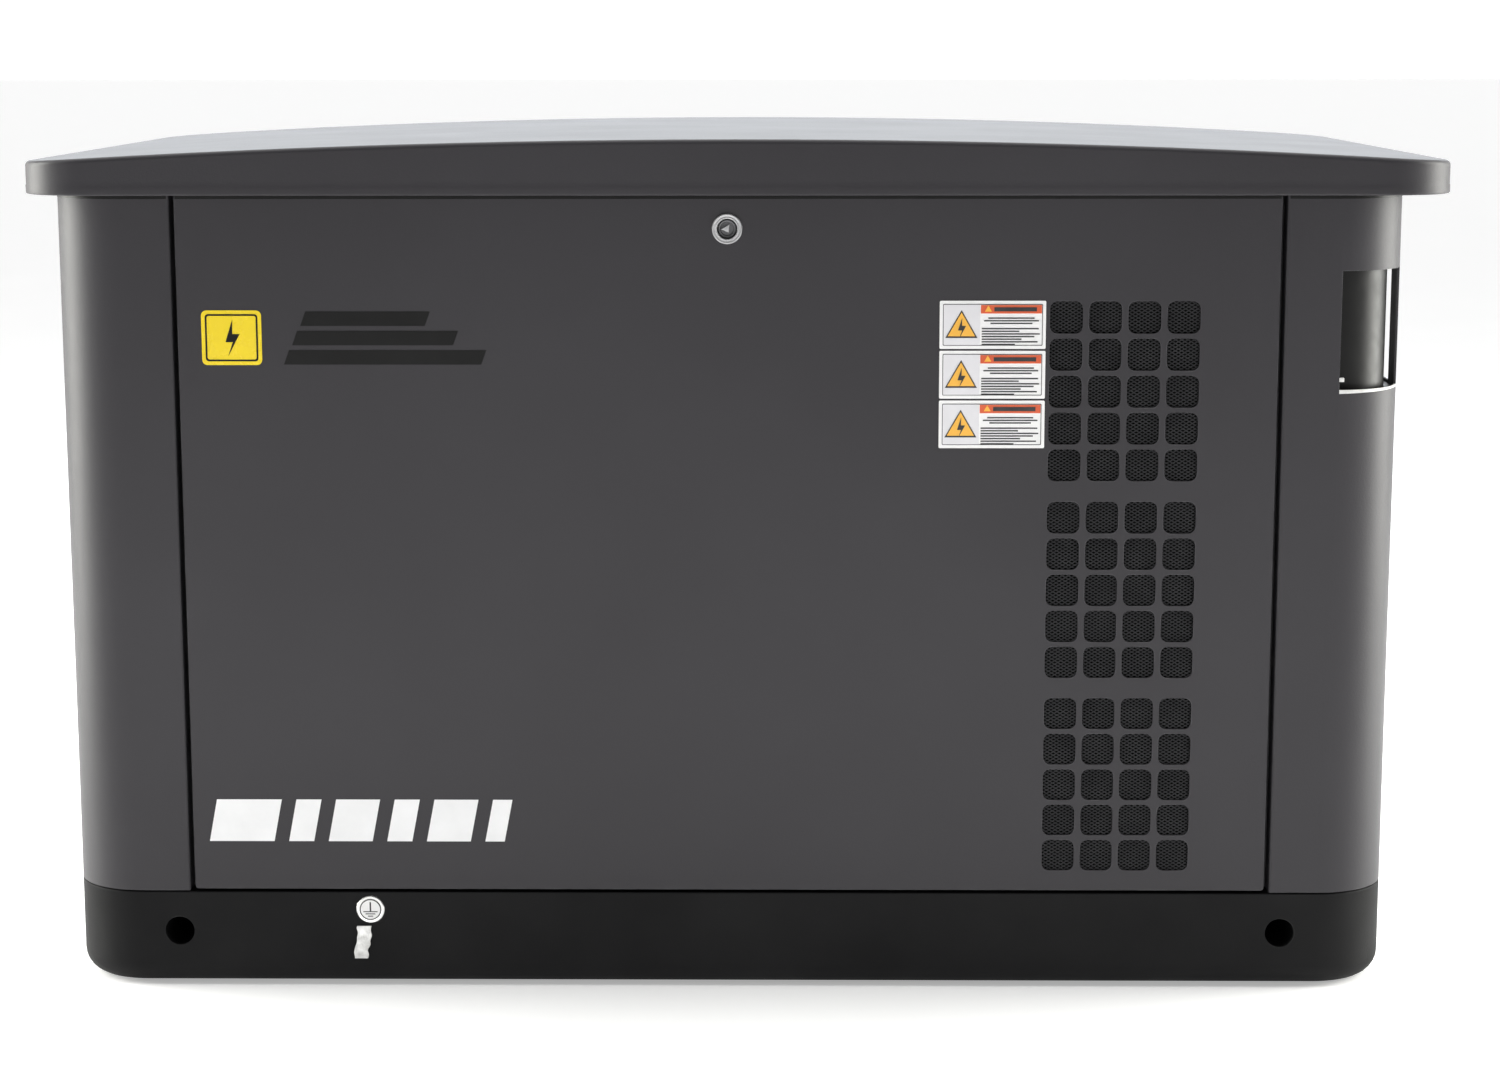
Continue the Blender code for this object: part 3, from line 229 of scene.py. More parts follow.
def acoustic_foam():
    m = foamed("foam", (0.040, 0.040, 0.043), (0.070, 0.070, 0.072), 0.93, 420.0, (0.0012, 0.0015))
    m.fix("Sheen Weight", 0.25)
    return m


def cast_aluminium():
    """Sand-cast metal: a coarse skin with fine pitting."""
    m = surface("cast_aluminium", (0.50, 0.51, 0.52), (0.40, 0.40, 0.41), 0.48, 1.0, 8.0, worn=(0.75, 0.75, 0.76))
    m.bump((m.noise(340.0, 4.0), 0.00022), (m.cells(900.0), 0.00008))
    return m


def wound_copper():
    m = surface("copper", (0.70, 0.33, 0.18), (0.48, 0.20, 0.10), 0.36, 1.0, 12.0)
    wave = m.node("ShaderNodeTexWave", bands_direction="X")
    wave.inputs["Scale"].default_value = 220.0
    m.link(m.coordinates, wave.inputs["Vector"])
    m.bump((wave.outputs["Fac"], 0.0006))
    return m


def clear_window():
    m = surface("display_glass", (0.010, 0.020, 0.018), (0.014, 0.026, 0.022), 0.08, cloud=30.0, spread=0.03)
    m.fix("Coat Weight", 0.8)
    return m


def pale_floor():
    """White studio floor, lit a little from within so that it stays white out to the horizon."""
    m = surface("floor", (0.86, 0.86, 0.86), (0.88, 0.88, 0.88), 0.60, cloud=1.5, grains=((40.0, 0.0002),))
    m.fix("Emission Color", (1.0, 1.0, 1.0, 1.0))
    m.fix("Emission Strength", 0.35)
    return m


COAT_GRAIN = ((1300.0, 0.00007), (380.0, 0.00009))
PLAIN = {  # name: two tones, roughness, metallic, size of the clouds, and what else surface() takes
    "case_paint": (
        (0.0345, 0.0325, 0.0365), (0.0395, 0.0375, 0.0420), 0.46, 0.0, 3.0,
        {"spread": 0.015, "grains": COAT_GRAIN, "worn": (0.16, 0.16, 0.17), "specular": 0.25},
    ),
    "base_paint": (
        (0.006, 0.006, 0.0065), (0.009, 0.009, 0.0095), 0.62, 0.0, 5.0,
        {"grains": COAT_GRAIN, "worn": (0.08, 0.08, 0.08), "specular": 0.14},
    ),
    "mesh_black": (
        (0.045, 0.045, 0.048), (0.065, 0.065, 0.068), 0.45, 0.0, 40.0, {
            "grains": ((900.0, 0.00005),), "specular": 0.25
        }
    ),
    "zinc": ((0.58, 0.59, 0.60), (0.50, 0.50, 0.48), 0.34, 1.0, 25.0, {"grains": ((600.0, 0.00005),)}),
    "bright_zinc": ((0.82, 0.82, 0.81), (0.48, 0.48, 0.47), 0.38, 0.7, 110.0, {"grains": ((260.0, 0.0006),)}),
    "satin_chrome": ((0.78, 0.78, 0.77), (0.70, 0.70, 0.69), 0.22, 1.0, 60.0, {}),
    "engine_black": (
        (0.020, 0.020, 0.021), (0.030, 0.030, 0.031), 0.38, 0.0, 7.0,
        {"grains": ((240.0, 0.0002),), "worn": (0.20, 0.20, 0.20)},
    ),
    "steel": ((0.47, 0.47, 0.48), (0.40, 0.40, 0.41), 0.24, 1.0, 20.0, {"stretch": (1.0, 12.0, 12.0)}),
    "rubber": ((0.018, 0.018, 0.018), (0.030, 0.030, 0.029), 0.72, 0.0, 22.0, {"grains": ((700.0, 0.00008),)}),
    "orange_filter": ((0.62, 0.13, 0.015), (0.55, 0.11, 0.012), 0.30, 0.0, 10.0, {"grains": ((500.0, 0.00005),)}),
    "yellow_plastic": ((0.82, 0.50, 0.02), (0.74, 0.43, 0.02), 0.38, 0.0, 14.0, {"grains": ((900.0, 0.00005),)}),
    "red_plastic": ((0.55, 0.015, 0.012), (0.45, 0.012, 0.010), 0.34, 0.0, 14.0, {"grains": ((900.0, 0.00005),)}),
    "control_plastic": ((0.13, 0.13, 0.14), (0.16, 0.16, 0.17), 0.50, 0.0, 9.0, {"grains": ((1100.0, 0.00012),)}),
    "battery_case": ((0.022, 0.022, 0.025), (0.034, 0.034, 0.037), 0.46, 0.0, 8.0, {"grains": ((800.0, 0.0001),)}),
    "black_plastic": ((0.018, 0.018, 0.019), (0.027, 0.027, 0.028), 0.46, 0.0, 9.0, {"grains": ((1000.0, 0.00012),)}),
    "label_white": ((0.93, 0.92, 0.92), (0.88, 0.88, 0.88), 0.42, 0.0, 30.0, {}),
    "label_grey": ((0.78, 0.77, 0.80), (0.74, 0.73, 0.76), 0.42, 0.0, 30.0, {}),
    "label_orange": ((0.72, 0.11, 0.030), (0.66, 0.095, 0.028), 0.40, 0.0, 60.0, {}),
    "label_amber": ((0.95, 0.50, 0.06), (0.90, 0.46, 0.05), 0.40, 0.0, 60.0, {}),
    "label_ink": ((0.012, 0.011, 0.012), (0.030, 0.028, 0.030), 0.44, 0.0, 90.0, {}),
    "badge_yellow": ((0.92, 0.70, 0.010), (0.86, 0.64, 0.009), 0.26, 0.0, 20.0, {}),
    # flat_black is black print on the badge and stripes, and also painted shade on the wall inside the windows and on
    # the edging under the lid
    "flat_black": ((0.004, 0.004, 0.004), (0.007, 0.007, 0.007), 0.40, 0.0, 25.0, {"specular": 0.2}),
    "lock_grey": ((0.54, 0.54, 0.55), (0.44, 0.44, 0.45), 0.36, 0.3, 70.0, {"grains": ((500.0, 0.00006),)}),
    "gunmetal": ((0.11, 0.11, 0.115), (0.08, 0.08, 0.085), 0.42, 0.2, 60.0, {"grains": ((700.0, 0.00006),)}),
    # light grey for the window's cut edge: painted highlight
    "painted_edge_highlight": ((0.72, 0.72, 0.71), (0.60, 0.60, 0.59), 0.50, 0.0, 120.0, {"grains": ((800.0, 0.00005),)}),
    "mark_white": ((0.88, 0.88, 0.89), (0.82, 0.82, 0.83), 0.34, 0.0, 25.0, {}),
}
FINISHES = {name: surface(name, *values, **rest).material for name, (*values, rest) in PLAIN.items()}
SPECIAL = {
    "heat_steel": heat_stained,
    "filter_mat": filter_mat,
    "foam": acoustic_foam,
    "cast_aluminium": cast_aluminium,
    "copper": wound_copper,
    "display_glass": clear_window,
    "floor": pale_floor,
}
FINISHES |= {name: make().material for name, make in SPECIAL.items()}

# ---------------------------------------------------------------- shape helpers

FRONT_PLANE = Matrix.Rotation(math.radians(90), 4, "X")  # local X, Y are world X, Z, and local Z is world -Y
LEVEL = Matrix.Identity(4)


def place_new(name, data):
    """A new object in the scene."""
    obj = bpy.data.objects.new(name, data)
    bpy.context.scene.collection.objects.link(obj)
    return obj


def evaluated_mesh(obj):
    bpy.context.view_layer.update()
    return bpy.data.meshes.new_from_object(obj.evaluated_get(bpy.context.evaluated_depsgraph_get()))


def aimed(axis):
    """The turn that brings +Z to the axis."""
    return Vector(axis).to_track_quat("Z", "Y").to_matrix().to_4x4()


def join_rows(shape, rows, closed=False):
    """Quads between each row of vertices and the next."""
    for first, second in zip(rows, rows[1:]):
        for i in range(len(first) if closed else len(first) - 1):
            j = (i + 1) % len(first)
            shape.faces.new((first[i], first[j], second[j], second[i]))


def mesh_object(name, shape, finish, matrix=LEVEL):
    bmesh.ops.recalc_face_normals(shape, faces=shape.faces)
    mesh = bpy.data.meshes.new(name)
    shape.to_mesh(mesh)
    shape.free()
    mesh.transform(matrix)
    mesh.materials.append(FINISHES[finish])
    return place_new(name, mesh)


def apply_modifiers(obj):
    """Bakes the modifiers into the mesh."""
    mesh = evaluated_mesh(obj)
    obj.modifiers.clear()
    obj.data = mesh
    return obj


def rounded(obj, width, segments=3, angle=30.0):
    """Rounds every edge sharper than the angle."""
    bevel = obj.modifiers.new("rounding", "BEVEL")
    bevel.width = width
    bevel.segments = segments
    bevel.limit_method = "ANGLE"
    bevel.angle_limit = math.radians(angle)
    bevel.harden_normals = False
    return apply_modifiers(obj)


def thickened(obj, thickness):
    """Gives a sheet its thickness, half to each side."""
    solid = obj.modifiers.new("thickness", "SOLIDIFY")
    solid.thickness = thickness
    solid.offset = 0.0
    return apply_modifiers(obj)


def cut(obj, *others):
    for other in others:
        modifier = obj.modifiers.new("cut", "BOOLEAN")
        modifier.operation = "DIFFERENCE"
        modifier.object = other
    apply_modifiers(obj)
    for other in others:
        bpy.data.objects.remove(other)
    return obj


def merged(name, parts):
    """Several objects made one, each keeping its own finish."""
    shape = bmesh.new()
    finishes = []
    for part in parts:
        material = part.data.materials[0]
        if material not in finishes:
            finishes.append(material)
        index = finishes.index(material)
        part.data.transform(part.matrix_world)
        first = len(shape.faces)
        shape.from_mesh(part.data)
        shape.faces.ensure_lookup_table()
        for face in shape.faces[first:]:
            face.material_index = index
        bpy.data.objects.remove(part)
    mesh = bpy.data.meshes.new(name)
    shape.to_mesh(mesh)
    shape.free()
    for material in finishes:
        mesh.materials.append(material)
    return place_new(name, mesh)


def add(name, body, *parts, stands_for="", slot=None, smooth=35.0):
    """Puts a finished piece on its body. A piece stands for the CAD nodes that it names."""
    obj = merged(name, parts) if len(parts) > 1 else parts[0]
    obj.name = obj.data.name = name
    obj.data.shade_smooth()
    obj.data.set_sharp_from_angle(angle=math.radians(smooth))
    lean = obj.modifiers.new("normals", "WEIGHTED_NORMAL")
    lean.keep_sharp = True
    lean.weight = 95
    apply_modifiers(obj).data.name = name
    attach(obj, body)
    if stands_for:
        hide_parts(*stands_for.split())
    return obj


def arc(centre, radius, start, end, steps):
    """Points on an arc, with its angles in degrees."""
    angles = [math.radians(start + (end - start) * i / steps) for i in range(steps + 1)]
    return [(centre[0] + radius * math.cos(a), centre[1] + radius * math.sin(a)) for a in angles]


def rounded_rectangle(low, high, radius, steps=6):
    x0, y0, x1, y1 = low[0] + radius, low[1] + radius, high[0] - radius, high[1] - radius
    corners = [((x1, y0), -90), ((x1, y1), 0), ((x0, y1), 90), ((x0, y0), 180)]
    return [p for centre, start in corners for p in arc(centre, radius, start, start + 90, steps)]


def curve_to_mesh(name, data, finish, matrix):
    curve = place_new(name, data)
    mesh = evaluated_mesh(curve)
    bpy.data.objects.remove(curve)
    shape = bmesh.new()
    shape.from_mesh(mesh)
    bmesh.ops.remove_doubles(shape, verts=shape.verts, dist=1e-6)
    return mesh_object(name, shape, finish, matrix)


def add_spline(data, points, cyclic):
    spline = data.splines.new("POLY")
    spline.points.add(len(points) - 1)
    for place, point in zip(spline.points, points):
        place.co = (*point, *([0.0] * (3 - len(point))), 1.0)
    spline.use_cyclic_u = cyclic


def plate(name, loops, low, high, finish, matrix=LEVEL, rounding=0.0):
    """A flat outline with holes, in the XY plane of matrix, filling low to high along its Z, with rounded rims."""
    data = bpy.data.curves.new(name, "CURVE")
    data.dimensions = "2D"
    data.fill_mode = "BOTH"
    data.extrude = (high - low) / 2 - rounding
    if rounding:
        data.bevel_depth = rounding
        data.bevel_resolution = 1
        data.offset = -rounding
    for loop in loops:
        add_spline(data, loop, True)
    return curve_to_mesh(name, data, finish, matrix @ Matrix.Translation((0, 0, (low + high) / 2)))


def rod(name, points, radius, finish, resolution=4):
    """A round bar along points."""
    data = bpy.data.curves.new(name, "CURVE")
    data.dimensions = "3D"
    data.bevel_depth = radius
    data.bevel_resolution = resolution
    data.use_fill_caps = True
    add_spline(data, points, False)
    return curve_to_mesh(name, data, finish, LEVEL)


def smooth_route(knots, step):
    """Points about a step apart on a smooth curve through the knots, ends included."""
    knots = [Vector(k) for k in knots]
    padded = [2 * knots[0] - knots[1], *knots, 2 * knots[-1] - knots[-2]]
    points = [knots[0]]
    for a, b, c, d in zip(padded, padded[1:], padded[2:], padded[3:]):
        count = max(1, round((c - b).length / step))
        for i in range(1, count + 1):
            t = i / count
            points.append(
                0.5 * (2 * b + (c - a) * t + (2 * a - 5 * b + 4 * c - d) * t**2 + (3 * b - a - 3 * c + d) * t**3)
            )
    return points


def lathe(name, profile, finish, centre, axis=UP, steps=48):
    """Turns a profile of (radius, height) round the axis through centre. The profile starts and ends on the axis,
    or closes on itself."""
    shape = bmesh.new()
    closed = profile[0][0] > 1e-9
    rings = []
    for radius, height in profile:
        if radius < 1e-9:
            rings.append([shape.verts.new((0, 0, height))])
        else:
            turns = [math.tau * i / steps for i in range(steps)]
            rings.append([shape.verts.new((radius * math.cos(t), radius * math.sin(t), height)) for t in turns])
    pairs = list(zip(rings, rings[1:])) + ([(rings[-1], rings[0])] if closed else [])
    for first, second in pairs:
        for i in range(steps):
            j = (i + 1) % steps
            corners = [first[i % len(first)], first[j % len(first)], second[j % len(second)], second[i % len(second)]]
            corners = list(dict.fromkeys(corners))
            if len(corners) > 2:
                shape.faces.new(corners)
    return mesh_object(name, shape, finish, Matrix.Translation(centre) @ aimed(axis))


def mm(*points):
    """A lathe's profile of (radius, height), given in millimetres."""
    return [(radius / 1000, height / 1000) for radius, height in points]


def section(radius, steps, centre=0.0):
    """A round section for a turned ring, its middle at the centre's radius."""
    turns = [math.tau * i / steps for i in range(steps)]
    return [(centre + radius * math.cos(t), radius * math.sin(t)) for t in turns]


def block(name, low, high, finish, rounding=0.0, matrix=LEVEL, segments=3):
    low, high = Vector(low), Vector(high)
    shape = bmesh.new()
    bmesh.ops.create_cube(shape, size=1.0)
    bmesh.ops.scale(shape, vec=high - low, verts=shape.verts)
    obj = mesh_object(name, shape, finish, matrix @ Matrix.Translation((low + high) / 2))
    return rounded(obj, rounding, segments) if rounding else obj


def bolts(places, axis, radius, finish="zinc"):
    """Hexagon bolt heads on washers, standing on their places and pointing along axis."""
    rim = [(1.75, 0), (1.8, 0.1), (1.75, 0.25)]
    parts = []
    for place in places:
        washer = [(0, 0), *[(radius * out, radius * up) for out, up in rim], (0, radius * 0.25)]
        parts.append(lathe("washer", washer, finish, place, axis, 24))
        hexagon = arc((0, 0), radius * 1.12, 0, 300, 5)
        head = plate("head", [hexagon], radius * 0.2, radius, finish, LEVEL, radius * 0.08)
        head.data.transform(Matrix.Translation(place) @ aimed(axis))
        parts.append(head)
    return parts


def bolts_on(matrix, places, axis, radius):
    return bolts([matrix @ Vector(place) for place in places], matrix.to_3x3() @ Vector(axis), radius)


def level(height):
    """A height that is the same all along, for a shell's profile."""
    return lambda x: height


# ---------------------------------------------------------------- rounded-end shells: the lid and the base


def columns(half_x, half_y, radius, corner_steps, straight_steps):
    """(x, y) along the front edge of a rounded rectangle, from its left end round to its right, with y positive."""
    corner = arc((radius - half_x, half_y - radius), radius, 180, 90, corner_steps)
    reach = half_x - radius
    straight = [(-reach + 2 * reach * i / straight_steps, half_y) for i in range(1, straight_steps)]
    return corner + straight + [(-x, y) for x, y in reversed(corner)]


def shell(name, half_x, half_y, radius, outer, inner, finish, corner_steps=14, straight_steps=24, cross_steps=12):
    """A closed skin. outer and inner are profiles of (inset, height at x). outer runs from the rim to its top,
    where it is closed over, and inner from its top back to the rim."""
    shape = bmesh.new()

    def columns_at(inset):
        return columns(half_x - inset, half_y - inset, max(radius - inset, 0.002), corner_steps, straight_steps)

    def border(inset, height):
        edge = columns_at(inset)
        last = [(edge[-1][0], edge[-1][1] * (2 * j / cross_steps - 1)) for j in range(1, cross_steps)]
        first = [(edge[0][0], edge[0][1] * (1 - 2 * j / cross_steps)) for j in range(1, cross_steps)]
        loop = [(x, -y) for x, y in edge] + last + [(x, y) for x, y in reversed(edge)] + first
        return [shape.verts.new((x, y, height(x))) for x, y in loop]

    def cover(ring, inset, height):
        """Closes a ring with a grid of quads."""
        edge = columns_at(inset)
        count = len(edge)
        grid = []
        for i, (x, y) in enumerate(edge):
            row = [ring[i]]
            for j in range(1, cross_steps):
                if i == 0:
                    row.append(ring[2 * count + cross_steps - 1 + cross_steps - 1 - j])
                elif i == count - 1:
                    row.append(ring[count + j - 1])
                else:
                    row.append(shape.verts.new((x, y * (2 * j / cross_steps - 1), height(x))))
            row.append(ring[count + cross_steps - 1 + count - 1 - i])
            grid.append(row)
        join_rows(shape, grid)

    rings = [border(*level) for level in outer]
    cover(rings[-1], *outer[-1])
    back = [border(*level) for level in inner]
    cover(back[0], *inner[0])
    for chain in (rings, back, [back[-1], rings[0]]):
        join_rows(shape, chain, closed=True)
    return mesh_object(name, shape, finish)


LID_RISE = 0.021
LID_SHEET, LID_EDGE = 0.0018, 0.0045
LID_RADIUS = 0.065
HALF_LID = (LID_HIGH.x - LID_LOW.x) / 2
LID_MIDDLE = (LID_HIGH.x + LID_LOW.x) / 2
CROWN_RADIUS = (HALF_LID**2 + LID_RISE**2) / (2 * LID_RISE)


def crown(x):
    """Height of the lid's top, x along from the lid's own middle."""
    return LID_HIGH.z - CROWN_RADIUS + math.sqrt(CROWN_RADIUS**2 - x * x)


def build_lid():
    bottom, hem, edge = LID_LOW.z, 0.0085, LID_EDGE

    def below(depth):
        return lambda x: crown(x) - depth

    turns = [math.radians(90 * i / 6) for i in range(7)]
    outer = [
        (0.0032, level(bottom + 0.0009)),
        (0.0024, level(bottom + 0.0002)),
        (0.0016, level(bottom)),
        (0.0008, level(bottom + 0.0002)),
        (0.0002, level(bottom + 0.0008)),
        (0.0, level(bottom + 0.0016)),
        (0.0, level(bottom + hem - 0.0010)),
        (0.0004, level(bottom + hem)),
        (0.0004, level(bottom + 0.014)),
        *[(0.0004 + edge * (1 - math.cos(t)), below(edge * (1 - math.sin(t)))) for t in turns],
        (0.0004 + edge * 2, below(0.0)),
    ]
    inner = [
        (edge * 2, below(LID_SHEET)),
        (LID_SHEET + edge, below(LID_SHEET + 0.0003)),
        (LID_SHEET + 0.0012, below(LID_SHEET + 0.0022)),
        (LID_SHEET + 0.0004, below(LID_SHEET + 0.0060)),
        (LID_SHEET + 0.0004, level(bottom + hem)),
        (0.0034, level(bottom + hem)),
        (0.0036, level(bottom + hem - 0.0006)),
    ]
    lid = shell("lid_shell", HALF_LID, LID_HIGH.y, LID_RADIUS, outer, inner, "case_paint")
    lid.data.transform(Matrix.Translation((LID_MIDDLE, 0, 0)))
    lugs = []
    for side, word in SIDES:
        pivot = strut_ends(word)[1]
        near, far = sorted((side * LUG_INNER_X, side * LUG_OUTER_X))
        top = crown(side * LUG_OUTER_X - LID_MIDDLE) - LID_SHEET / 2
        low, high = (near, pivot.y - 0.022, pivot.z - 0.012), (far, pivot.y + 0.022, top)
        lugs.append(block("lug", low, high, "case_paint", 0.0008))
    add("lid_shell", "lid", lid, *lugs, stands_for="lid", slot="case_paint", smooth=50)


BODY_RADIUS = 0.070
PANEL_SHEET = 0.002
SEAM_FLANGE = 0.030
SEAM_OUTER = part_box("right_end_panel")[0].x + SEAM_FLANGE
JAMB_SETBACK = 0.021
BAFFLE_LOW, BAFFLE_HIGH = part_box("outlet_baffle")
WINDOW_LOW, WINDOW_HIGH = BAFFLE_LOW.z + 0.012, BAFFLE_HIGH.z - 0.012
WINDOW_START = 0.569
CORNER_WINDOW_END, MULLION = REAR - 0.055, 0.036
LIFT_HOLE_X, LIFT_HOLE_Z, LIFT_HOLE_RADIUS = 0.528, 0.054, 0.014
PIN_X, PIN_HEIGHTS, PIN_HOLE = 0.5015, (0.135, 0.700), 0.0045


def build_base():
    """Folded base: rolled bottom edge, flat deck, foot flange round the underside, and four pipe holes."""
    wall, foot, roll, crest = 0.003, 0.050, 0.022, 0.0016
    top = BASE_HIGH.z
    outer_roll = [math.radians(90 * i / 7) for i in range(8)]
    crest_roll = [math.radians(90 * i / 3) for i in range(4)]
    outer = [
        (foot, level(0.0)),
        *[(roll * (1 - math.sin(t)), level(roll * (1 - math.cos(t)))) for t in outer_roll],
        *[(crest * (1 - math.cos(t)), level(top - crest * (1 - math.sin(t)))) for t in crest_roll],
        (2 * crest, level(top)),
    ]
    inner = [
        (wall + 2 * crest, level(top - wall)),
        (wall, level(top - wall - 0.002)),
        *[
            (wall + (roll - wall) * (1 - math.sin(t)), level(wall + (roll - wall) * (1 - math.cos(t))))
            for t in reversed(outer_roll)
        ],
        (foot, level(wall)),
    ]
    base = shell("base_shell", END, BASE_HIGH.y, BODY_RADIUS, outer, inner, "base_paint", cross_steps=8)
    hole = [(0, -0.4), (LIFT_HOLE_RADIUS, -0.4), (LIFT_HOLE_RADIUS, 0.4), (0, 0.4)]
    cut(
        base, *[lathe("hole", hole, "base_paint", (x, 0, LIFT_HOLE_Z), BACK, 40) for x in (-LIFT_HOLE_X, LIFT_HOLE_X)]
    )
    near, far, inner, outer = -0.004, -0.110, LIFT_HOLE_RADIUS, LIFT_HOLE_RADIUS + 0.0025
    cup = [(0, far), (outer, far), (outer, near), (inner, near), (inner, far + 0.003), (0, far + 0.003)]
    cups = [
        lathe("cup", cup, "base_paint", (x, face * BASE_HIGH.y, LIFT_HOLE_Z), (0, face, 0), 40)
        for x in (-LIFT_HOLE_X, LIFT_HOLE_X)
        for face in (-1, 1)
    ]
    add("base_shell", "enclosure", base, *cups, stands_for="base_pan", slot="base_paint")


def wrap_path(inset, start, bend=0.0025):
    """The right end's skin seen from above, from its front seam round to its rear seam."""
    x, y, radius = END - BODY_RADIUS, REAR - BODY_RADIUS, BODY_RADIUS - inset
    low = [(start, FRONT + JAMB_SETBACK), *arc((start + bend, FRONT + inset + bend), bend, 180, 270, 3)]
    high = [*arc((start + bend, REAR - inset - bend), bend, 90, 180, 3), (start, REAR - JAMB_SETBACK)]
    return [*low, *arc((x, -y), radius, -90, 0, 24), *arc((x, y), radius, 0, 90, 24), *high]


def build_end_panels():
    tip = SEAM_OUTER - SEAM_FLANGE
    for side, word in SIDES:
        outer = wrap_path(0.0, SEAM_OUTER)
        inner = wrap_path(PANEL_SHEET, SEAM_OUTER + PANEL_SHEET)
        inner[0] = (tip, FRONT + JAMB_SETBACK + PANEL_SHEET)
        inner[-1] = (tip, REAR - JAMB_SETBACK - PANEL_SHEET)
        inner.insert(1, (SEAM_OUTER + PANEL_SHEET, FRONT + JAMB_SETBACK + PANEL_SHEET))
        inner.insert(-1, (SEAM_OUTER + PANEL_SHEET, REAR - JAMB_SETBACK - PANEL_SHEET))
        outline = [(tip, FRONT + JAMB_SETBACK), *outer, (tip, REAR - JAMB_SETBACK), *reversed(inner)]
        outline = [(side * x, y) for x, y in outline]
        panel = plate("panel", [outline], PANEL_LOW.z - 0.002, PANEL_HIGH.z, "case_paint")
        if side > 0:
            cut_windows(panel)
        parts = [rounded(panel, 0.0005, 2)]
        pivot = strut_ends(word)[0]
        wall = END - PANEL_SHEET + 0.0002
        near, far = sorted((side * 0.607, side * wall))
        bracket_low, bracket_high = (near, pivot.y - 0.020, pivot.z - 0.015), (far, pivot.y + 0.020, pivot.z + 0.014)
        parts.append(block("bracket", bracket_low, bracket_high, "zinc", 0.003))
        pin = mm((0, 0), (3, 0), (3, 6.4), (1.8, 8), (0, 8))
        for z in PIN_HEIGHTS:
            place = (side * PIN_X, FRONT + JAMB_SETBACK + 0.0010, z)
            parts.append(lathe("pin", pin, "zinc", place, OUT, 24))
        stud = mm((0, 0), (5.2, 0), (5.8, 0.8), (5.8, 3), (4, 3.6), (4, 34), (3.4, 36), (0, 36))
        parts.append(lathe("stud", stud, "zinc", (side * 0.610, pivot.y, pivot.z), (-side, 0, 0), 24))
        add(f"{word}_end_skin", "enclosure", *parts, stands_for=f"{word}_end_panel", slot="case_paint")


def cut_windows(panel):
    far = END + 0.05
    spans = [
        (WINDOW_START, FRONT - 0.05, -CORNER_WINDOW_END),
        (END - 0.010, MULLION - CORNER_WINDOW_END, -MULLION / 2),
        (END - 0.010, MULLION / 2, CORNER_WINDOW_END - MULLION),
        (WINDOW_START, CORNER_WINDOW_END, REAR + 0.05),
    ]
    windows = [
        block("window", (x, low, WINDOW_LOW), (far, high, WINDOW_HIGH), "case_paint") for x, low, high in spans
    ]
    cut(panel, *windows)


def build_outlet():
    """Inside the windows: the curved wall, near-black as painted shade, and the shelves that join it to the skin above
    and below.
    """
    gap = 0.0115
    wall = wrap_path(gap, WINDOW_START - 0.008, 0.004)[5:-5]
    back = wrap_path(gap + 0.002, WINDOW_START - 0.008, 0.004)[5:-5]
    # the wall's own finish is the case paint; flat_black here is painted shade for the dim space behind the windows
    baffle = plate("baffle", [wall + list(reversed(back))], BAFFLE_LOW.z, BAFFLE_HIGH.z, "flat_black")
    add("outlet_wall_painted_shade", "enclosure", rounded(baffle, 0.0004, 1), stands_for="outlet_baffle", slot="case_paint")
    skin = wrap_path(PANEL_SHEET + 0.0004, WINDOW_START - 0.010, 0.004)[4:-4]
    inside = wrap_path(gap - 0.0006, WINDOW_START - 0.010, 0.004)[4:-4]
    for name, z in (("outlet_shelf_low", WINDOW_LOW - 0.0045), ("outlet_shelf_high", WINDOW_HIGH + 0.0030)):
        shelf = plate(name, [skin + list(reversed(inside))], z, z + 0.0015, "case_paint", rounding=0.0003)
        add(name, "enclosure", shelf, slot="case_paint")


def build_edge_trim():
    """Black edging on the top edges of the door and the end panels, under the lid: a strip in flat near-black, painted
    shadow for the shade that the lid casts there.
    """
    # flat_black, darker than rubber and taller than a seal would be: painted shadow under the lid's skirt
    low, high, proud = PANEL_HIGH.z - 0.0042, PANEL_HIGH.z + 0.0006, 0.0004
    outline = bar((PANEL_LOW.x + 0.001, FRONT - proud), (PANEL_HIGH.x - 0.001, FRONT + PANEL_SHEET + proud))
    add(
        "door_edging_painted_shadow", "front_door", plate("edging", [outline], low, high, "flat_black", LEVEL, 0.0003), slot="rubber"
    )
    for side, word in SIDES:
        outer = wrap_path(-proud, SEAM_OUTER + 0.001)[1:-1]
        inner = wrap_path(PANEL_SHEET + proud, SEAM_OUTER + 0.001)[1:-1]
        loop = [(side * x, y) for x, y in outer + list(reversed(inner))]
        edging = plate("edging", [loop], low, high, "flat_black", LEVEL, 0.0003)
        add(f"{word}_end_edging_painted_shadow", "enclosure", edging, slot="rubber")


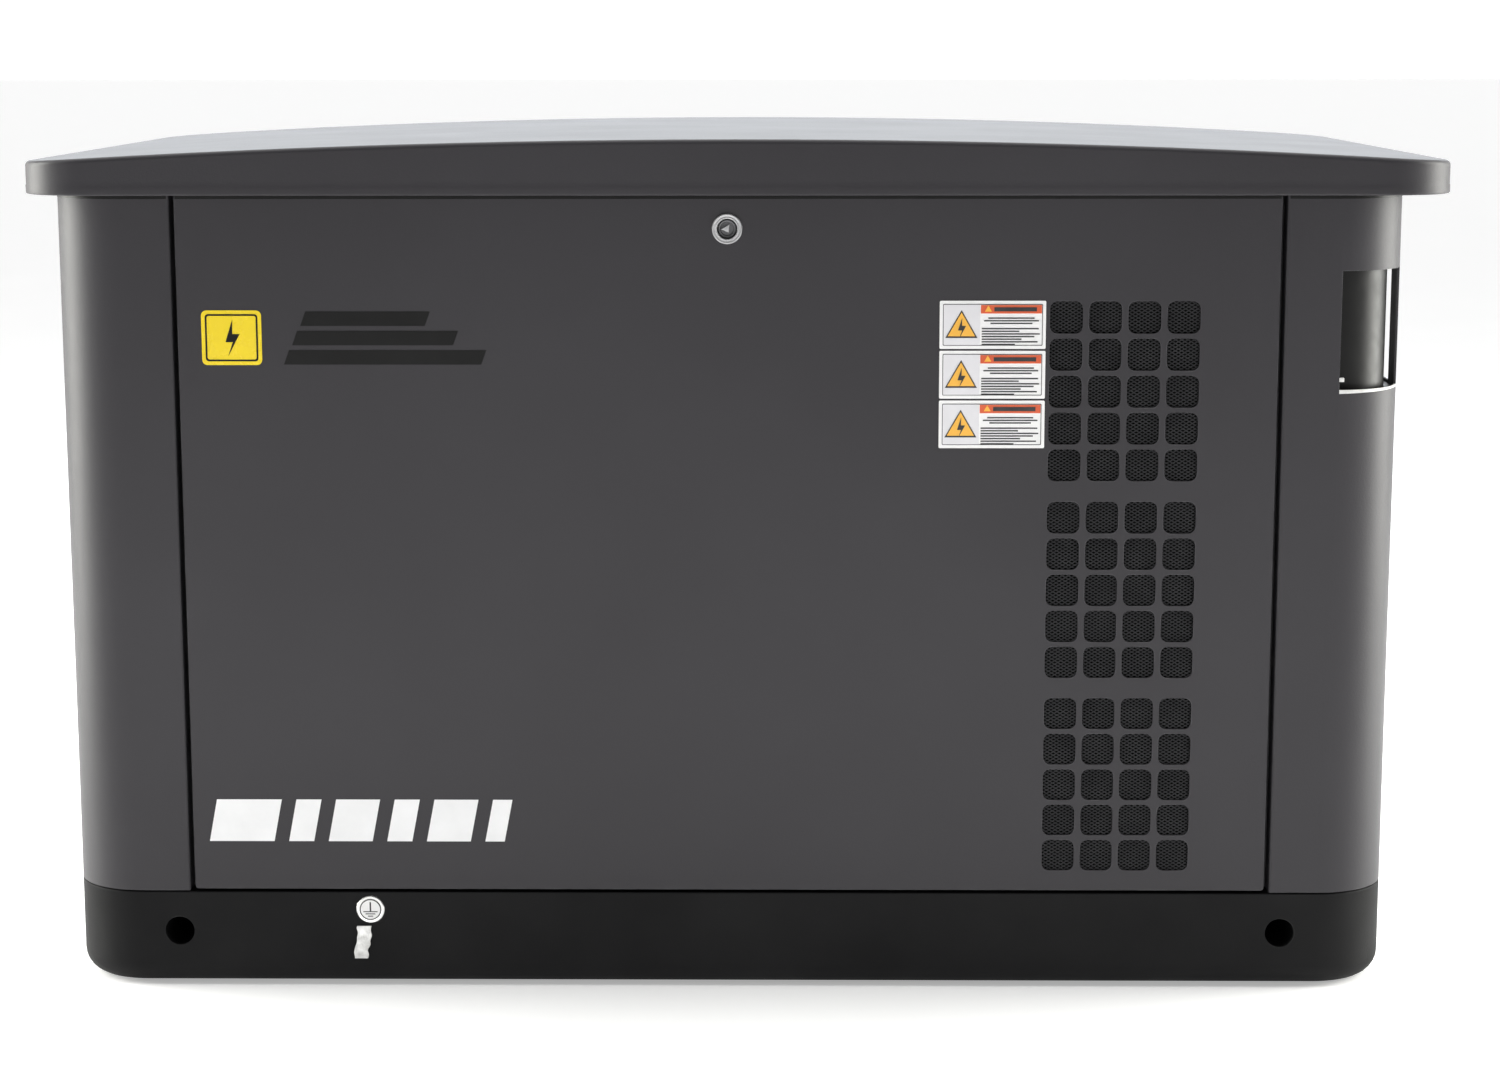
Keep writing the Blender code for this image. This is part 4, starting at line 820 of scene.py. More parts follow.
def build_window_trim():
    """The skin's cut edge under the front corner's window, thick at its left end and thinning round the corner, and the
    small tab above that end:
    both light grey as painted highlight, the light that the edge catches."""
    x, y, radius = END - BODY_RADIUS, REAR - BODY_RADIUS, BODY_RADIUS + 0.0003
    path = [(WINDOW_START, FRONT - 0.0003), *arc((x, -y), radius, -84, -8, 18)]
    shape = bmesh.new()
    rings = []
    for i, (px, py) in enumerate(path):
        depth = 0.0036 - 0.0024 * i / (len(path) - 1)
        inner = Vector((px - x, py + y)) if i else Vector((0.0, -radius))
        inner = inner * (radius - 0.0022) / radius
        near = (inner.x + x, inner.y - y) if i else (px, py + 0.0022)
        top = WINDOW_LOW + 0.0003
        rings.append(
            [shape.verts.new(p) for p in ((px, py, top - depth), (px, py, top), (*near, top), (*near, top - depth))]
        )
    join_rows(shape, rings, closed=True)
    shape.faces.new(rings[0])
    shape.faces.new(rings[-1])
    # light grey strip: painted highlight along the window's lower edge
    edge = mesh_object("edge", shape, "painted_edge_highlight")
    tab_low = (WINDOW_START - 0.0003, FRONT - 0.0005, WINDOW_LOW + 0.0080)
    tab_high = (WINDOW_START + 0.0042, FRONT + 0.0030, WINDOW_LOW + 0.0118)
    add("window_trim", "enclosure", edge, block("tab", tab_low, tab_high, "painted_edge_highlight", 0.0004))


MESH_LOW, MESH_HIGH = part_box("front_grille_mesh")
MESH_MARGIN, GROUP_GAP = 0.026, 0.0150
GRILLE_COLUMNS, GRILLE_ROWS, GRILLE_GROUPS = 4, 5, 3
CELL_WIDTH, CELL_HEIGHT, CELL_RADIUS = 0.0304, 0.0300, 0.0068


def grille_cells():
    """Centres of the door's openings, as (x, z)."""
    pitch_x = (MESH_HIGH.x - MESH_LOW.x - 2 * MESH_MARGIN) / (GRILLE_COLUMNS - 1)
    rows = GRILLE_ROWS * GRILLE_GROUPS
    tall = MESH_HIGH.z - MESH_LOW.z - 2 * MESH_MARGIN - (GRILLE_GROUPS - 1) * GROUP_GAP
    pitch_z = tall / (rows - 1)
    cells = []
    for row in range(rows):
        z = MESH_HIGH.z - MESH_MARGIN - row * pitch_z - (row // GRILLE_ROWS) * GROUP_GAP
        cells += [(MESH_LOW.x + MESH_MARGIN + column * pitch_x, z) for column in range(GRILLE_COLUMNS)]
    return cells


def tray(low, high, face_y, inward, openings, bend, rim, lip_holes=()):
    """A panel folded back along its four edges, with openings. inward is +1 when the folds run towards +Y."""
    depth, lip, sheet, spare = 0.018, 0.020, PANEL_SHEET, 0.005

    def slab(loops, near, far):
        a, b = sorted((-(face_y + inward * near), -(face_y + inward * far)))
        return plate("slab", loops, a, b, "case_paint", FRONT_PLANE)

    def ring(width, radius, steps=4):
        return rounded_rectangle((low.x + width, low.z + width), (high.x - width, high.z - width), radius, steps)

    panel = slab([ring(0.0, 0.003)], 0.0, depth)
    cut(
        panel,
        slab([ring(sheet, 0.002)], sheet, depth - sheet),
        slab([ring(lip, 0.003)], depth - sheet - 0.004, depth + spare),
        slab(openings, -spare, sheet + spare),
        *[slab([hole], depth - sheet - 0.004, depth + spare) for hole in lip_holes],
    )
    weights = panel.data.attributes.new("bevel_weight_edge", "FLOAT", "EDGE")
    inset = (low.x + 0.004, high.x - 0.004, low.z + 0.004, high.z - 0.004)
    for edge in panel.data.edges:
        ends = [panel.data.vertices[v].co for v in edge.vertices]
        if any(abs(end.y - face_y) > 1e-5 for end in ends):
            continue
        outside = [end.x < inset[0] or end.x > inset[1] or end.z < inset[2] or end.z > inset[3] for end in ends]
        weights.data[edge.index].value = 1.0 if all(outside) else rim / bend
    bevel = panel.modifiers.new("bends", "BEVEL")
    bevel.width = bend
    bevel.segments = 4
    bevel.limit_method = "WEIGHT"
    return apply_modifiers(panel)


def build_door():
    cells = [
        rounded_rectangle(
            (x - CELL_WIDTH / 2, z - CELL_HEIGHT / 2), (x + CELL_WIDTH / 2, z + CELL_HEIGHT / 2), CELL_RADIUS, 4
        )
        for x, z in grille_cells()
    ]
    lock_hole = arc((LOCK.x, LOCK.z), 0.0105, 0, 345, 23)
    pin_holes = [arc((x, z), PIN_HOLE, 0, 340, 17) for x in (-PIN_X, PIN_X) for z in PIN_HEIGHTS]
    door = tray(PANEL_LOW, PANEL_HIGH, FRONT, 1, [lock_hole, *cells], 0.0016, 0.0005, pin_holes)
    add("front_door_skin", "front_door", door, stands_for="front_panel", slot="case_paint", smooth=30)


def build_expanded_metal():
    """Raised expanded metal: diamonds whose strands lean, so that they catch the light in rows."""
    wide, tall, strand = 0.0058, 0.0034, 0.27
    x0, x1, z0, z1 = MESH_LOW.x + 0.006, MESH_HIGH.x - 0.006, MESH_LOW.z + 0.006, MESH_HIGH.z - 0.006
    across, up = int((x1 - x0) / wide), int((z1 - z0) / tall) * 2
    lean = 0.00045
    middle = (MESH_LOW.y + MESH_HIGH.y) / 2
    shape = bmesh.new()
    corners = {}

    def corner(i, k):
        """A shared corner of the lattice, on half pitches."""
        if (i, k) not in corners:
            place = (x0 + i * wide / 2, middle, z0 + k * tall / 2)
            corners[(i, k)] = shape.verts.new(place)
        return corners[(i, k)]

    for k in range(1, up, 1):
        for i in range(1 + k % 2, 2 * across, 2):
            left, right, low, high = corner(i - 1, k), corner(i + 1, k), corner(i, k - 1), corner(i, k + 1)
            centre = Vector((x0 + i * wide / 2, middle, z0 + k * tall / 2))
            hole = []
            for vert, push in ((left, 0.0), (low, lean), (right, 0.0), (high, -lean)):
                place = centre + (vert.co - centre) * (1 - strand * (1.0 if push else 0.75))
                hole.append(shape.verts.new((place.x, place.y + push, place.z)))
            ring = [left, low, right, high]
            for j in range(4):
                shape.faces.new((ring[j], ring[(j + 1) % 4], hole[(j + 1) % 4], hole[j]))
    mesh = mesh_object("expanded_metal", shape, "mesh_black")
    thickened(mesh, 0.0006)
    frame_low, frame_high = (MESH_LOW.x, MESH_LOW.z), (MESH_HIGH.x, MESH_HIGH.z)
    rim = [
        rounded_rectangle(frame_low, frame_high, 0.004, 3),
        rounded_rectangle((x0, z0 + 0.001), (x1 - 0.002, z1 - 0.002), 0.002, 3),
    ]
    border = plate("border", rim, -MESH_HIGH.y, -MESH_LOW.y, "mesh_black", FRONT_PLANE)
    add("expanded_metal", "front_door", mesh, border, stands_for="front_grille_mesh", slot="mesh_black")
    # near-black foam mat: partly its own black, partly painted shade behind the grille's openings
    mat_low = (MESH_LOW.x + 0.002, MESH_HIGH.y + 0.0006, MESH_LOW.z + 0.002)
    mat_high = (MESH_HIGH.x - 0.002, MESH_HIGH.y + 0.0086, MESH_HIGH.z - 0.002)
    mat = add("intake_mat_painted_shade", "front_door", block("mat", mat_low, mat_high, "filter_mat", 0.0025), slot="foam")


def build_lock():
    face = Vector((LOCK.x, FRONT, LOCK.z))
    ring = mm(
        (9.2, -18), (10, -18), (10, -0.2), (13.4, -0.2), (14.1, 0.4), (14.1, 1.2), (13.7, 2), (13, 2.3), (12.2, 1.9),
        (11.2, 1.9), (10.5, 2.4), (9.8, 2.3), (9.2, 1.4),
    )
    ring = lathe("ring", ring, "lock_grey", face, OUT)
    add("lock_ring", "front_door", ring, stands_for="lock_housing", slot="zinc")
    barrel = mm(
        (0, -42), (4.4, -42), (4.8, -41), (4.8, -20), (8.2, -19), (8.2, 0), (7.8, 0.5), (6.6, 0.2), (5.8, -1),
        (0, -1.2),
    )
    outline = [
        (LOCK.x - 0.0058, LOCK.z - 0.0002), (LOCK.x + 0.0016, LOCK.z - 0.0034), (LOCK.x + 0.0022, LOCK.z + 0.0042)
    ]
    key = plate("key", [outline], -FRONT - 0.002, -FRONT + 0.0016, "lock_grey", FRONT_PLANE, 0.0006)
    barrel = lathe("barrel", barrel, "gunmetal", face, OUT)
    add("lock_core", "lock", barrel, key, stands_for="lock_barrel", slot="zinc")


# ---------------------------------------------------------------- badge, marks, labels and earth point


def decal(loops, layer, finish, ground=0.0, thickness=0.0003):
    """A thin flat shape on the door's face, or ground proud of it. Each layer stands on the one below."""
    low = ground - FRONT + layer * thickness
    return plate("decal", loops, low, low + thickness, finish, FRONT_PLANE)


def bar(low, high, slant=0.0):
    """A bar between two corners, leaning to the right by slant."""
    return [(low[0], low[1]), (high[0] - slant, low[1]), (high[0], high[1]), (low[0] + slant, high[1])]


def moved(points, centre, size):
    return [(centre[0] + x * size, centre[1] + z * size) for x, z in points]


BOLT = [(-0.10, -0.50), (0.03, -0.12), (-0.17, -0.12), (0.03, 0.50), (0.02, 0.10), (0.22, 0.10)]
BADGE_X, BADGE_Z = -0.4615, 0.626
BADGE_WIDE, BADGE_TALL, BADGE_LINE = 0.056, 0.051, 0.0016
STRIPES_X, STRIPES_Z, STRIPE_TALL = (-0.4133, -0.2243), (0.6010, 0.6190, 0.6370), 0.0135
MARK_X, MARK_Z = (-0.4965, -0.206), (0.143, 0.184)
MARK_WIDTHS, MARK_GAP, MARK_SLANT = (0.070, 0.032, 0.050, 0.032, 0.050, 0.0265), 0.006, 0.008


def build_marks():
    """A badge with a bolt, plain dark stripes beside it and plain pale blocks near the foot of the door."""

    def square(inset, radius):
        half_x, half_z = BADGE_WIDE / 2 - inset, BADGE_TALL / 2 - inset
        low, high = (BADGE_X - half_x, BADGE_Z - half_z), (BADGE_X + half_x, BADGE_Z + half_z)
        return rounded_rectangle(low, high, radius, 5)

    badge = decal([square(0.0, 0.005)], 0, "badge_yellow")
    line = decal([square(0.0035, 0.003), square(0.0035 + BADGE_LINE, 0.002)], 1, "flat_black")
    flash = decal([moved(BOLT, (BADGE_X, BADGE_Z), 0.034)], 1, "flat_black")
    add("badge", "front_door", badge, line, flash)
    left, right = STRIPES_X
    stripes = [
        bar((left + 0.008 * i, z), (right - 0.026 * i, z + STRIPE_TALL), 0.005) for i, z in enumerate(STRIPES_Z)
    ]
    add("dark_stripes", "front_door", decal(stripes, 0, "flat_black"))
    bars, x = [], MARK_X[0]
    for width in MARK_WIDTHS:
        bars.append(bar((x, MARK_Z[0]), (x + width, MARK_Z[1]), MARK_SLANT))
        x += width + MARK_GAP
    add("pale_blocks", "front_door", decal(bars, 0, "mark_white"))


LABEL_LEFT, LABEL_RIGHT, LABEL_TOP = 0.197, 0.2955, 0.6605
LABEL_HEIGHT, LABEL_PITCH, LABEL_SPLIT = 0.0447, 0.0465, 0.0375
LINE_SHORTS = (0.012, 0.004, 0.016, None, 0.002, 0.020, 0.001, 0.006, 0.018, 0.003, 0.024)  # what each row lacks
CENTRED_ROWS = 3


def build_labels():
    """Three plain labels: a triangle with a bolt, a coloured band and rows of lines that are not lettering."""
    for i, word in enumerate(("upper", "middle", "lower")):
        top = LABEL_TOP - i * LABEL_PITCH
        low, high = (LABEL_LEFT, top - LABEL_HEIGHT), (LABEL_RIGHT, top)
        split = LABEL_LEFT + LABEL_SPLIT

        def inset(amount):
            return (low[0] + amount, low[1] + amount), (high[0] - amount, high[1] - amount)

        def frame_between(outside, outside_radius, inside, inside_radius):
            return [rounded_rectangle(*outside, outside_radius, 3), rounded_rectangle(*inside, inside_radius, 3)]

        rim, hole = inset(0.0030), inset(0.0036)
        (hole_low, hole_high), right = hole, rim[1][0] - 0.0016
        centre = ((rim[0][0] + split) / 2, (low[1] + high[1]) / 2 - 0.0008)
        triangle = [(0.5 * math.cos(a), 0.5 * math.sin(a) - 0.08) for a in (math.radians(d) for d in (90, 210, 330))]
        lines = []
        for row, short in enumerate(LINE_SHORTS):
            z = high[1] - 0.0155 - row * 0.00245
            if short is not None:
                before, after = (short / 2, short / 2) if row < CENTRED_ROWS else (0, short)
                lines.append(bar((split + 0.0016 + before, z - 0.0012), (right - after, z)))
        band = bar((split + 0.0006, high[1] - 0.0118), (hole_high[0] - 0.0003, hole_high[1] - 0.0003))
        word_bar = bar((split + 0.0130, high[1] - 0.0098), (hole_high[0] - 0.0050, high[1] - 0.0060))
        parts = [
            decal(frame_between(inset(-0.0005), 0.0014, (low, high), 0.0012), 0, "label_ink"),
            decal([rounded_rectangle(low, high, 0.0012, 3)], 0, "label_white"),
            decal(frame_between(rim, 0.0010, hole, 0.0008), 1, "label_ink"),
            decal([rounded_rectangle(hole_low, (split, hole_high[1]), 0.0006, 2)], 1, "label_grey"),
            decal([band], 1, "label_orange"),
            decal([word_bar], 2, "label_ink"),
            decal([moved(triangle, (split + 0.0075, high[1] - 0.0075), 0.0075)], 2, "label_amber"),
            decal([moved(triangle, centre, 0.0345)], 2, "label_ink"),
            decal([moved(triangle, centre, 0.0295)], 3, "label_amber"),
            decal([moved(BOLT, (centre[0], centre[1] - 0.0020), 0.0190)], 4, "label_ink"),
            decal(lines, 1, "label_ink"),
        ]
        add(f"plain_label_{word}", "front_door", *parts)


EARTH_X, EARTH_Z, EARTH_RADIUS = -0.344, 0.0755, 0.0135


def build_earth_point():
    """The disc with the earth symbol, and the bent strip below it."""
    centre = Vector((EARTH_X, FRONT, EARTH_Z))
    inset = [(0.0, 0.0), (0.0, 0.0006), (0.0008, 0.0013), (0.0022, 0.0013), (0.0030, 0.0008)]
    rim = [(0, 0.0), *[(EARTH_RADIUS - within, height) for within, height in inset], (0, 0.0008)]
    disc = lathe("disc", rim, "satin_chrome", centre, OUT)

    ring = [arc((EARTH_X, EARTH_Z), radius, 0, 352, 44) for radius in (0.0104, 0.0094)]
    bars = [bar((EARTH_X - 0.0007, EARTH_Z - 0.0016), (EARTH_X + 0.0007, EARTH_Z + 0.0074))]
    for row, half in enumerate((0.0068, 0.0047, 0.0025)):
        z = EARTH_Z - 0.0016 - row * 0.0022
        bars.append(bar((EARTH_X - half, z - 0.0009), (EARTH_X + half, z)))
    layers = (([ring[1]], 0, "label_white"), (ring, 1, "label_ink"), (bars, 1, "label_ink"))
    add("earth_disc", "enclosure", disc, *[decal(*layer, 0.0008, 0.0002) for layer in layers])

    low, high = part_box("earth_strap")
    shape = bmesh.new()
    rings = []
    half, thick, count = (high.x - low.x) / 2, 0.0013, 24
    corners = ((-1, 0), (1, 0), (1, 1), (-1, 1))
    for i in range(count + 1):
        t = i / count
        z = low.z + (high.z - low.z) * t
        step = 1 / (1 + math.exp(-(t - 0.42) * 14))
        middle = (low.x + high.x) / 2 - 0.0016 + 0.0034 * step + 0.0004 * math.sin(t * 19)
        out = FRONT - 0.0004 - 0.0009 * math.exp(-(((t - 0.5) / 0.30) ** 2)) - 0.0002 * math.sin(t * 11) ** 2
        reach = half - 0.0003 * math.cos(t * 23)
        rings.append([shape.verts.new((middle + side * reach, out - thick * face, z)) for side, face in corners])
    join_rows(shape, rings, closed=True)
    shape.faces.new(rings[0])
    shape.faces.new(rings[-1])
    strap = rounded(mesh_object("strap", shape, "bright_zinc"), 0.0004, 2, 50)
    add("earth_strip", "enclosure", strap, stands_for="earth_strap", slot="bright_zinc")


# ---------------------------------------------------------------- the back


LOUVRE_WIDTH = 0.100


def build_back():
    places = [(x, 0.150 + 0.024 * row) for x in (0.120, 0.240) for row in range(20)]
    slots = [rounded_rectangle((x, z), (x + LOUVRE_WIDTH, z + 0.010), 0.0045, 4) for x, z in places]
    inlet_low, inlet_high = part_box("gas_inlet")
    inlet = Vector(((inlet_low.x + inlet_high.x) / 2, REAR, inlet_low.z + 0.0238))
    holes = [arc((inlet.x, inlet.z), 0.0200, 0, 345, 23), arc((-0.420, inlet.z), 0.0140, 0, 345, 23)]
    low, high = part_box("rear_panel")
    panel = tray(low, high, REAR, -1, [*holes, *slots], 0.0016, 0.0005)
    hoods = [louvre_hood(x, z) for x, z in places]
    add("rear_skin", "enclosure", panel, *hoods, stands_for="rear_panel", slot="case_paint")
    screws = [(x, REAR, z) for z in (0.140, 0.330, 0.520, 0.700) for x in (low.x + 0.010, high.x - 0.010)]
    add("rear_screws", "enclosure", *bolts(screws, BACK, 0.0042))
    gland = mm((8.5, -10), (13.8, -10), (13.8, 0.2), (18, 0.2), (18.4, 1), (18, 3), (12, 3.6), (11, 7), (8.8, 7.4))
    add("cable_grommet", "enclosure", lathe("gland", gland, "rubber", (-0.420, REAR, inlet.z), BACK), slot="rubber")


def louvre_hood(x, z):
    """A pressed hood over one slot: open below, and blended into the sheet at its ends and top."""
    reach, rise, steps = 0.0065, 0.016, 6
    shape = bmesh.new()
    grid = []
    for i in range(17):
        across = i / 16
        swell = math.sin(math.pi * across) ** 0.35 if 0 < i < 16 else 0.0
        row = []
        for j in range(steps + 1):
            t = j / steps
            out = reach * swell * math.cos(math.pi / 2 * t) ** 0.8 + 0.0004
            row.append(shape.verts.new((x + LOUVRE_WIDTH * across, REAR + out, z + 0.0005 + rise * t)))
        grid.append(row)
    join_rows(shape, grid)
    hood = mesh_object("hood", shape, "case_paint")
    return thickened(hood, 0.0009)


# ---------------------------------------------------------------- lid fittings and struts

STRUT_EYE, ROD_EYE = 0.0095, 0.0080
LUG_INNER_X, LUG_OUTER_X = 0.5960, 0.5990
FOAM_LOW, FOAM_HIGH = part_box("lid_foam")


def strut_ends(word):
    """The two pivots of a gas strut with the lid closed."""
    low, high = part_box(f"strut_tube_{word}")[0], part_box(f"strut_rod_{word}")[1]
    x = sum(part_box(f"strut_tube_{word}"), Vector()).x / 2
    return Vector((x, low.y + STRUT_EYE, low.z + STRUT_EYE)), Vector((x, high.y - ROD_EYE, high.z - ROD_EYE))


def build_struts():
    for side, word in SIDES:
        low, high = strut_ends(word)
        run = (high - low).normalized()
        length = (high - low).length
        tube = mm(
            (0, 8), (6.5, 8), (8.5, 12), (9, 15), (9, 204), (8.4, 206), (8.4, 209), (8.8, 211), (8.6, 214.5),
            (4.8, 215), (4.8, 180), (0, 180),
        )
        eye = mm((4.6, -5), (9, -5), (9.5, -4.2), (9.5, 4.2), (9, 5), (4.6, 5))
        parts = [lathe("tube", tube, "engine_black", low, run, 36), lathe("eye", eye, "engine_black", low, RIGHT, 32)]
        add(
            f"strut_body_{word}", f"{word}_strut_tube", *parts, stands_for=f"strut_tube_{word}",
            slot="engine_black",
        )
        start = length - 0.215
        bar_profile = [
            (0, start), (0.0036, start), (0.0040, start + 0.0005), (0.0040, length - 0.006), (0, length - 0.006)
        ]
        head = mm((0, -5), (7.4, -5), (8, -4.4), (8, 4.4), (7.4, 5), (0, 5))
        reach = LUG_INNER_X - abs(high.x) - 0.0003
        pin = [(0, 0), (0.0035, 0), (0.0035, reach), (0, reach)]
        parts = [
            lathe("bar", bar_profile, "steel", low, run, 28),
            lathe("head", head, "steel", high, RIGHT, 32),
            lathe("pin", pin, "steel", high, (side, 0, 0), 24),
        ]
        add(f"strut_bar_{word}", f"{word}_strut_rod", *parts, stands_for=f"strut_rod_{word}", slot="steel")


def build_lid_foam():
    """Convoluted foam glued under the lid: rows of soft bumps that die away at a cut edge."""
    middle = (FOAM_LOW.x + FOAM_HIGH.x) / 2
    half_x, half_y = (FOAM_HIGH.x - FOAM_LOW.x) / 2 - 0.0005, FOAM_HIGH.y - 0.0005
    across, deep, pitch, rim = 200, 104, 0.050, 0.010
    thin, swell = 0.0088, 0.0052
    shape = bmesh.new()

    def height(x, y, below):
        z = crown(x) - LID_SHEET - 0.0012
        if not below:
            return z
        edge = min(half_x - abs(x), half_y - abs(y), rim) / rim
        fade = math.sin(math.pi / 2 * max(edge, 0.0))
        bump = 0.5 + 0.5 * math.sin(math.tau * x / pitch) * math.sin(math.tau * y / pitch)
        return z - 0.004 - (thin - 0.004 + swell * bump) * fade

    grids = []
    for below in (False, True):
        grid = []
        for i in range(across + 1):
            x = half_x * (2 * i / across - 1)
            row = []
            for j in range(deep + 1):
                y = half_y * (2 * j / deep - 1)
                row.append(shape.verts.new((x + middle, y, height(x, y, below))))
            grid.append(row)
        grids.append(grid)
        join_rows(shape, grid)

    def rim_of(grid):
        far = [row[-1] for row in grid]
        return grid[0][:-1] + far[:-1] + list(reversed(grid[-1]))[:-1] + list(reversed([row[0] for row in grid]))[:-1]

    join_rows(shape, [rim_of(grid) for grid in grids], closed=True)
    foam = add(
        "lid_foam_bumps", "lid", mesh_object("foam", shape, "foam"), stands_for="lid_foam", slot="foam", smooth=60
    )


def build_hinge_screws():
    for word in ("left", "right"):
        low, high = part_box(f"hinge_base_{word}")
        screws = [(x, REAR + 0.0025, z) for x in (low.x + 0.010, high.x - 0.010) for z in (0.719, 0.738)]
        add(f"hinge_screws_{word}", "enclosure", *bolts(screws, BACK, 0.0030))


def build_seal():
    """The rubber seal on top of the frame, under the lid."""
    low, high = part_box("top_frame")
    inset, radius = 0.010, 0.0028
    loop = rounded_rectangle((low.x + inset, low.y + inset), (high.x - inset, high.y - inset), 0.055, 10)
    points = [(x, y, high.z + radius * 0.6) for x, y in loop]
    points.append(points[0])
    add("lid_seal", "enclosure", rod("seal", points, radius, "rubber", 3), slot="rubber", smooth=60)


# ---------------------------------------------------------------- engine and alternator

CRANK_Z = 0.360
CYLINDER_X = {"front": 0.015, "rear": -0.035}
BARREL_START, BARREL_LENGTH, COVER_HEIGHT = 0.128, 0.136, 0.045


def bank(word):
    """The frame of one cylinder: its origin on the crankshaft line, and its +Z along the bore."""
    lean = math.radians(45 if word == "front" else -45)
    return Matrix.Translation((CYLINDER_X[word], 0, CRANK_Z)) @ Matrix.Rotation(lean, 4, "X")


def build_cylinders():
    for word in ("front", "rear"):
        place = bank(word) @ Matrix.Translation((0, 0, BARREL_START))
        parts = [block("barrel", (-0.046, -0.046, 0.0), (0.046, 0.046, 0.112), "cast_aluminium", 0.012, place)]
        for i in range(14):
            z = 0.0055 + 0.0066 * i
            outline = rounded_rectangle((-0.064, -0.061), (0.064, 0.061), 0.014, 5)
            parts.append(plate("fin", [outline], z, z + 0.0026, "cast_aluminium", place, 0.0008))
        low, high = (-0.058, -0.055, 0.110), (0.058, 0.055, BARREL_LENGTH)
        parts.append(block("head", low, high, "cast_aluminium", 0.005, place))
        boot = mm((0, 0), (9.5, 0), (10, 4), (8.5, 8), (8.5, 30), (7, 36), (0, 37))
        boot_place = place @ Vector((-0.0575, 0.018, 0.123))
        parts.append(lathe("plug_boot", boot, "rubber", boot_place, place.to_3x3() @ Vector(LEFT), 28))
        add(f"finned_cylinder_{word}", "enclosure", *parts, stands_for=f"cylinder_{word}", slot="cast_aluminium")

        base = BARREL_START + BARREL_LENGTH + 0.0003
        frame_of = bank(word) @ Matrix.Translation((0, 0, base))
        top = COVER_HEIGHT
        parts = [
            block("flange", (-0.0600, -0.0550, 0.0), (0.0600, 0.0550, 0.0070), "engine_black", 0.0025, frame_of),
            block(
                "dome", (-0.0510, -0.0460, 0.005), (0.0510, 0.0460, top - 0.003), "engine_black", 0.013, frame_of, 5
            ),
        ]
        for y in (-0.024, -0.008, 0.008, 0.024):
            rib_low, rib_high = (-0.040, y - 0.0022, top - 0.006), (0.040, y + 0.0022, top - 0.0006)
            parts.append(block("rib", rib_low, rib_high, "engine_black", 0.002, frame_of))
        if word == "front":
            seat = [(0, top - 0.008), (0.0215, top - 0.008), (0.0210, top - 0.0004), (0, top - 0.0002)]
            parts.append(
                lathe(
                    "seat", seat, "engine_black", frame_of @ Vector((0.020, 0, 0)), frame_of.to_3x3() @ Vector(UP), 40
                ),
            )
        corners = [(x, y, 0.0070) for x in (-0.0540, 0.0540) for y in (-0.0480, 0.0480)]
        parts += bolts_on(frame_of, corners, UP, 0.0032)
        add(f"rocker_box_{word}", "enclosure", *parts, stands_for=f"rocker_cover_{word}", slot="engine_black")

    cap_place = bank("front") @ Vector((0.020, 0, BARREL_START + BARREL_LENGTH + COVER_HEIGHT + 0.0006))
    up = bank("front").to_3x3() @ Vector(UP)
    disc = mm((0, 0), (18.5, 0), (19, 0.6), (19, 14), (17.6, 17.5), (15, 18), (0, 18))
    parts = [lathe("cap", disc, "yellow_plastic", cap_place, up, 40)]
    turn = Matrix.Translation(cap_place) @ bank("front").to_3x3().to_4x4()
    for i in range(3):
        bar_turn = turn @ Matrix.Rotation(math.pi * i / 3, 4, "Z")
        parts.append(
            block("grip", (-0.0115, -0.0028, 0.0165), (0.0115, 0.0028, 0.0258), "yellow_plastic", 0.0016, bar_turn)
        )
    add("oil_cap_grip", "oil_cap", *parts, stands_for="oil_cap", slot="yellow_plastic")


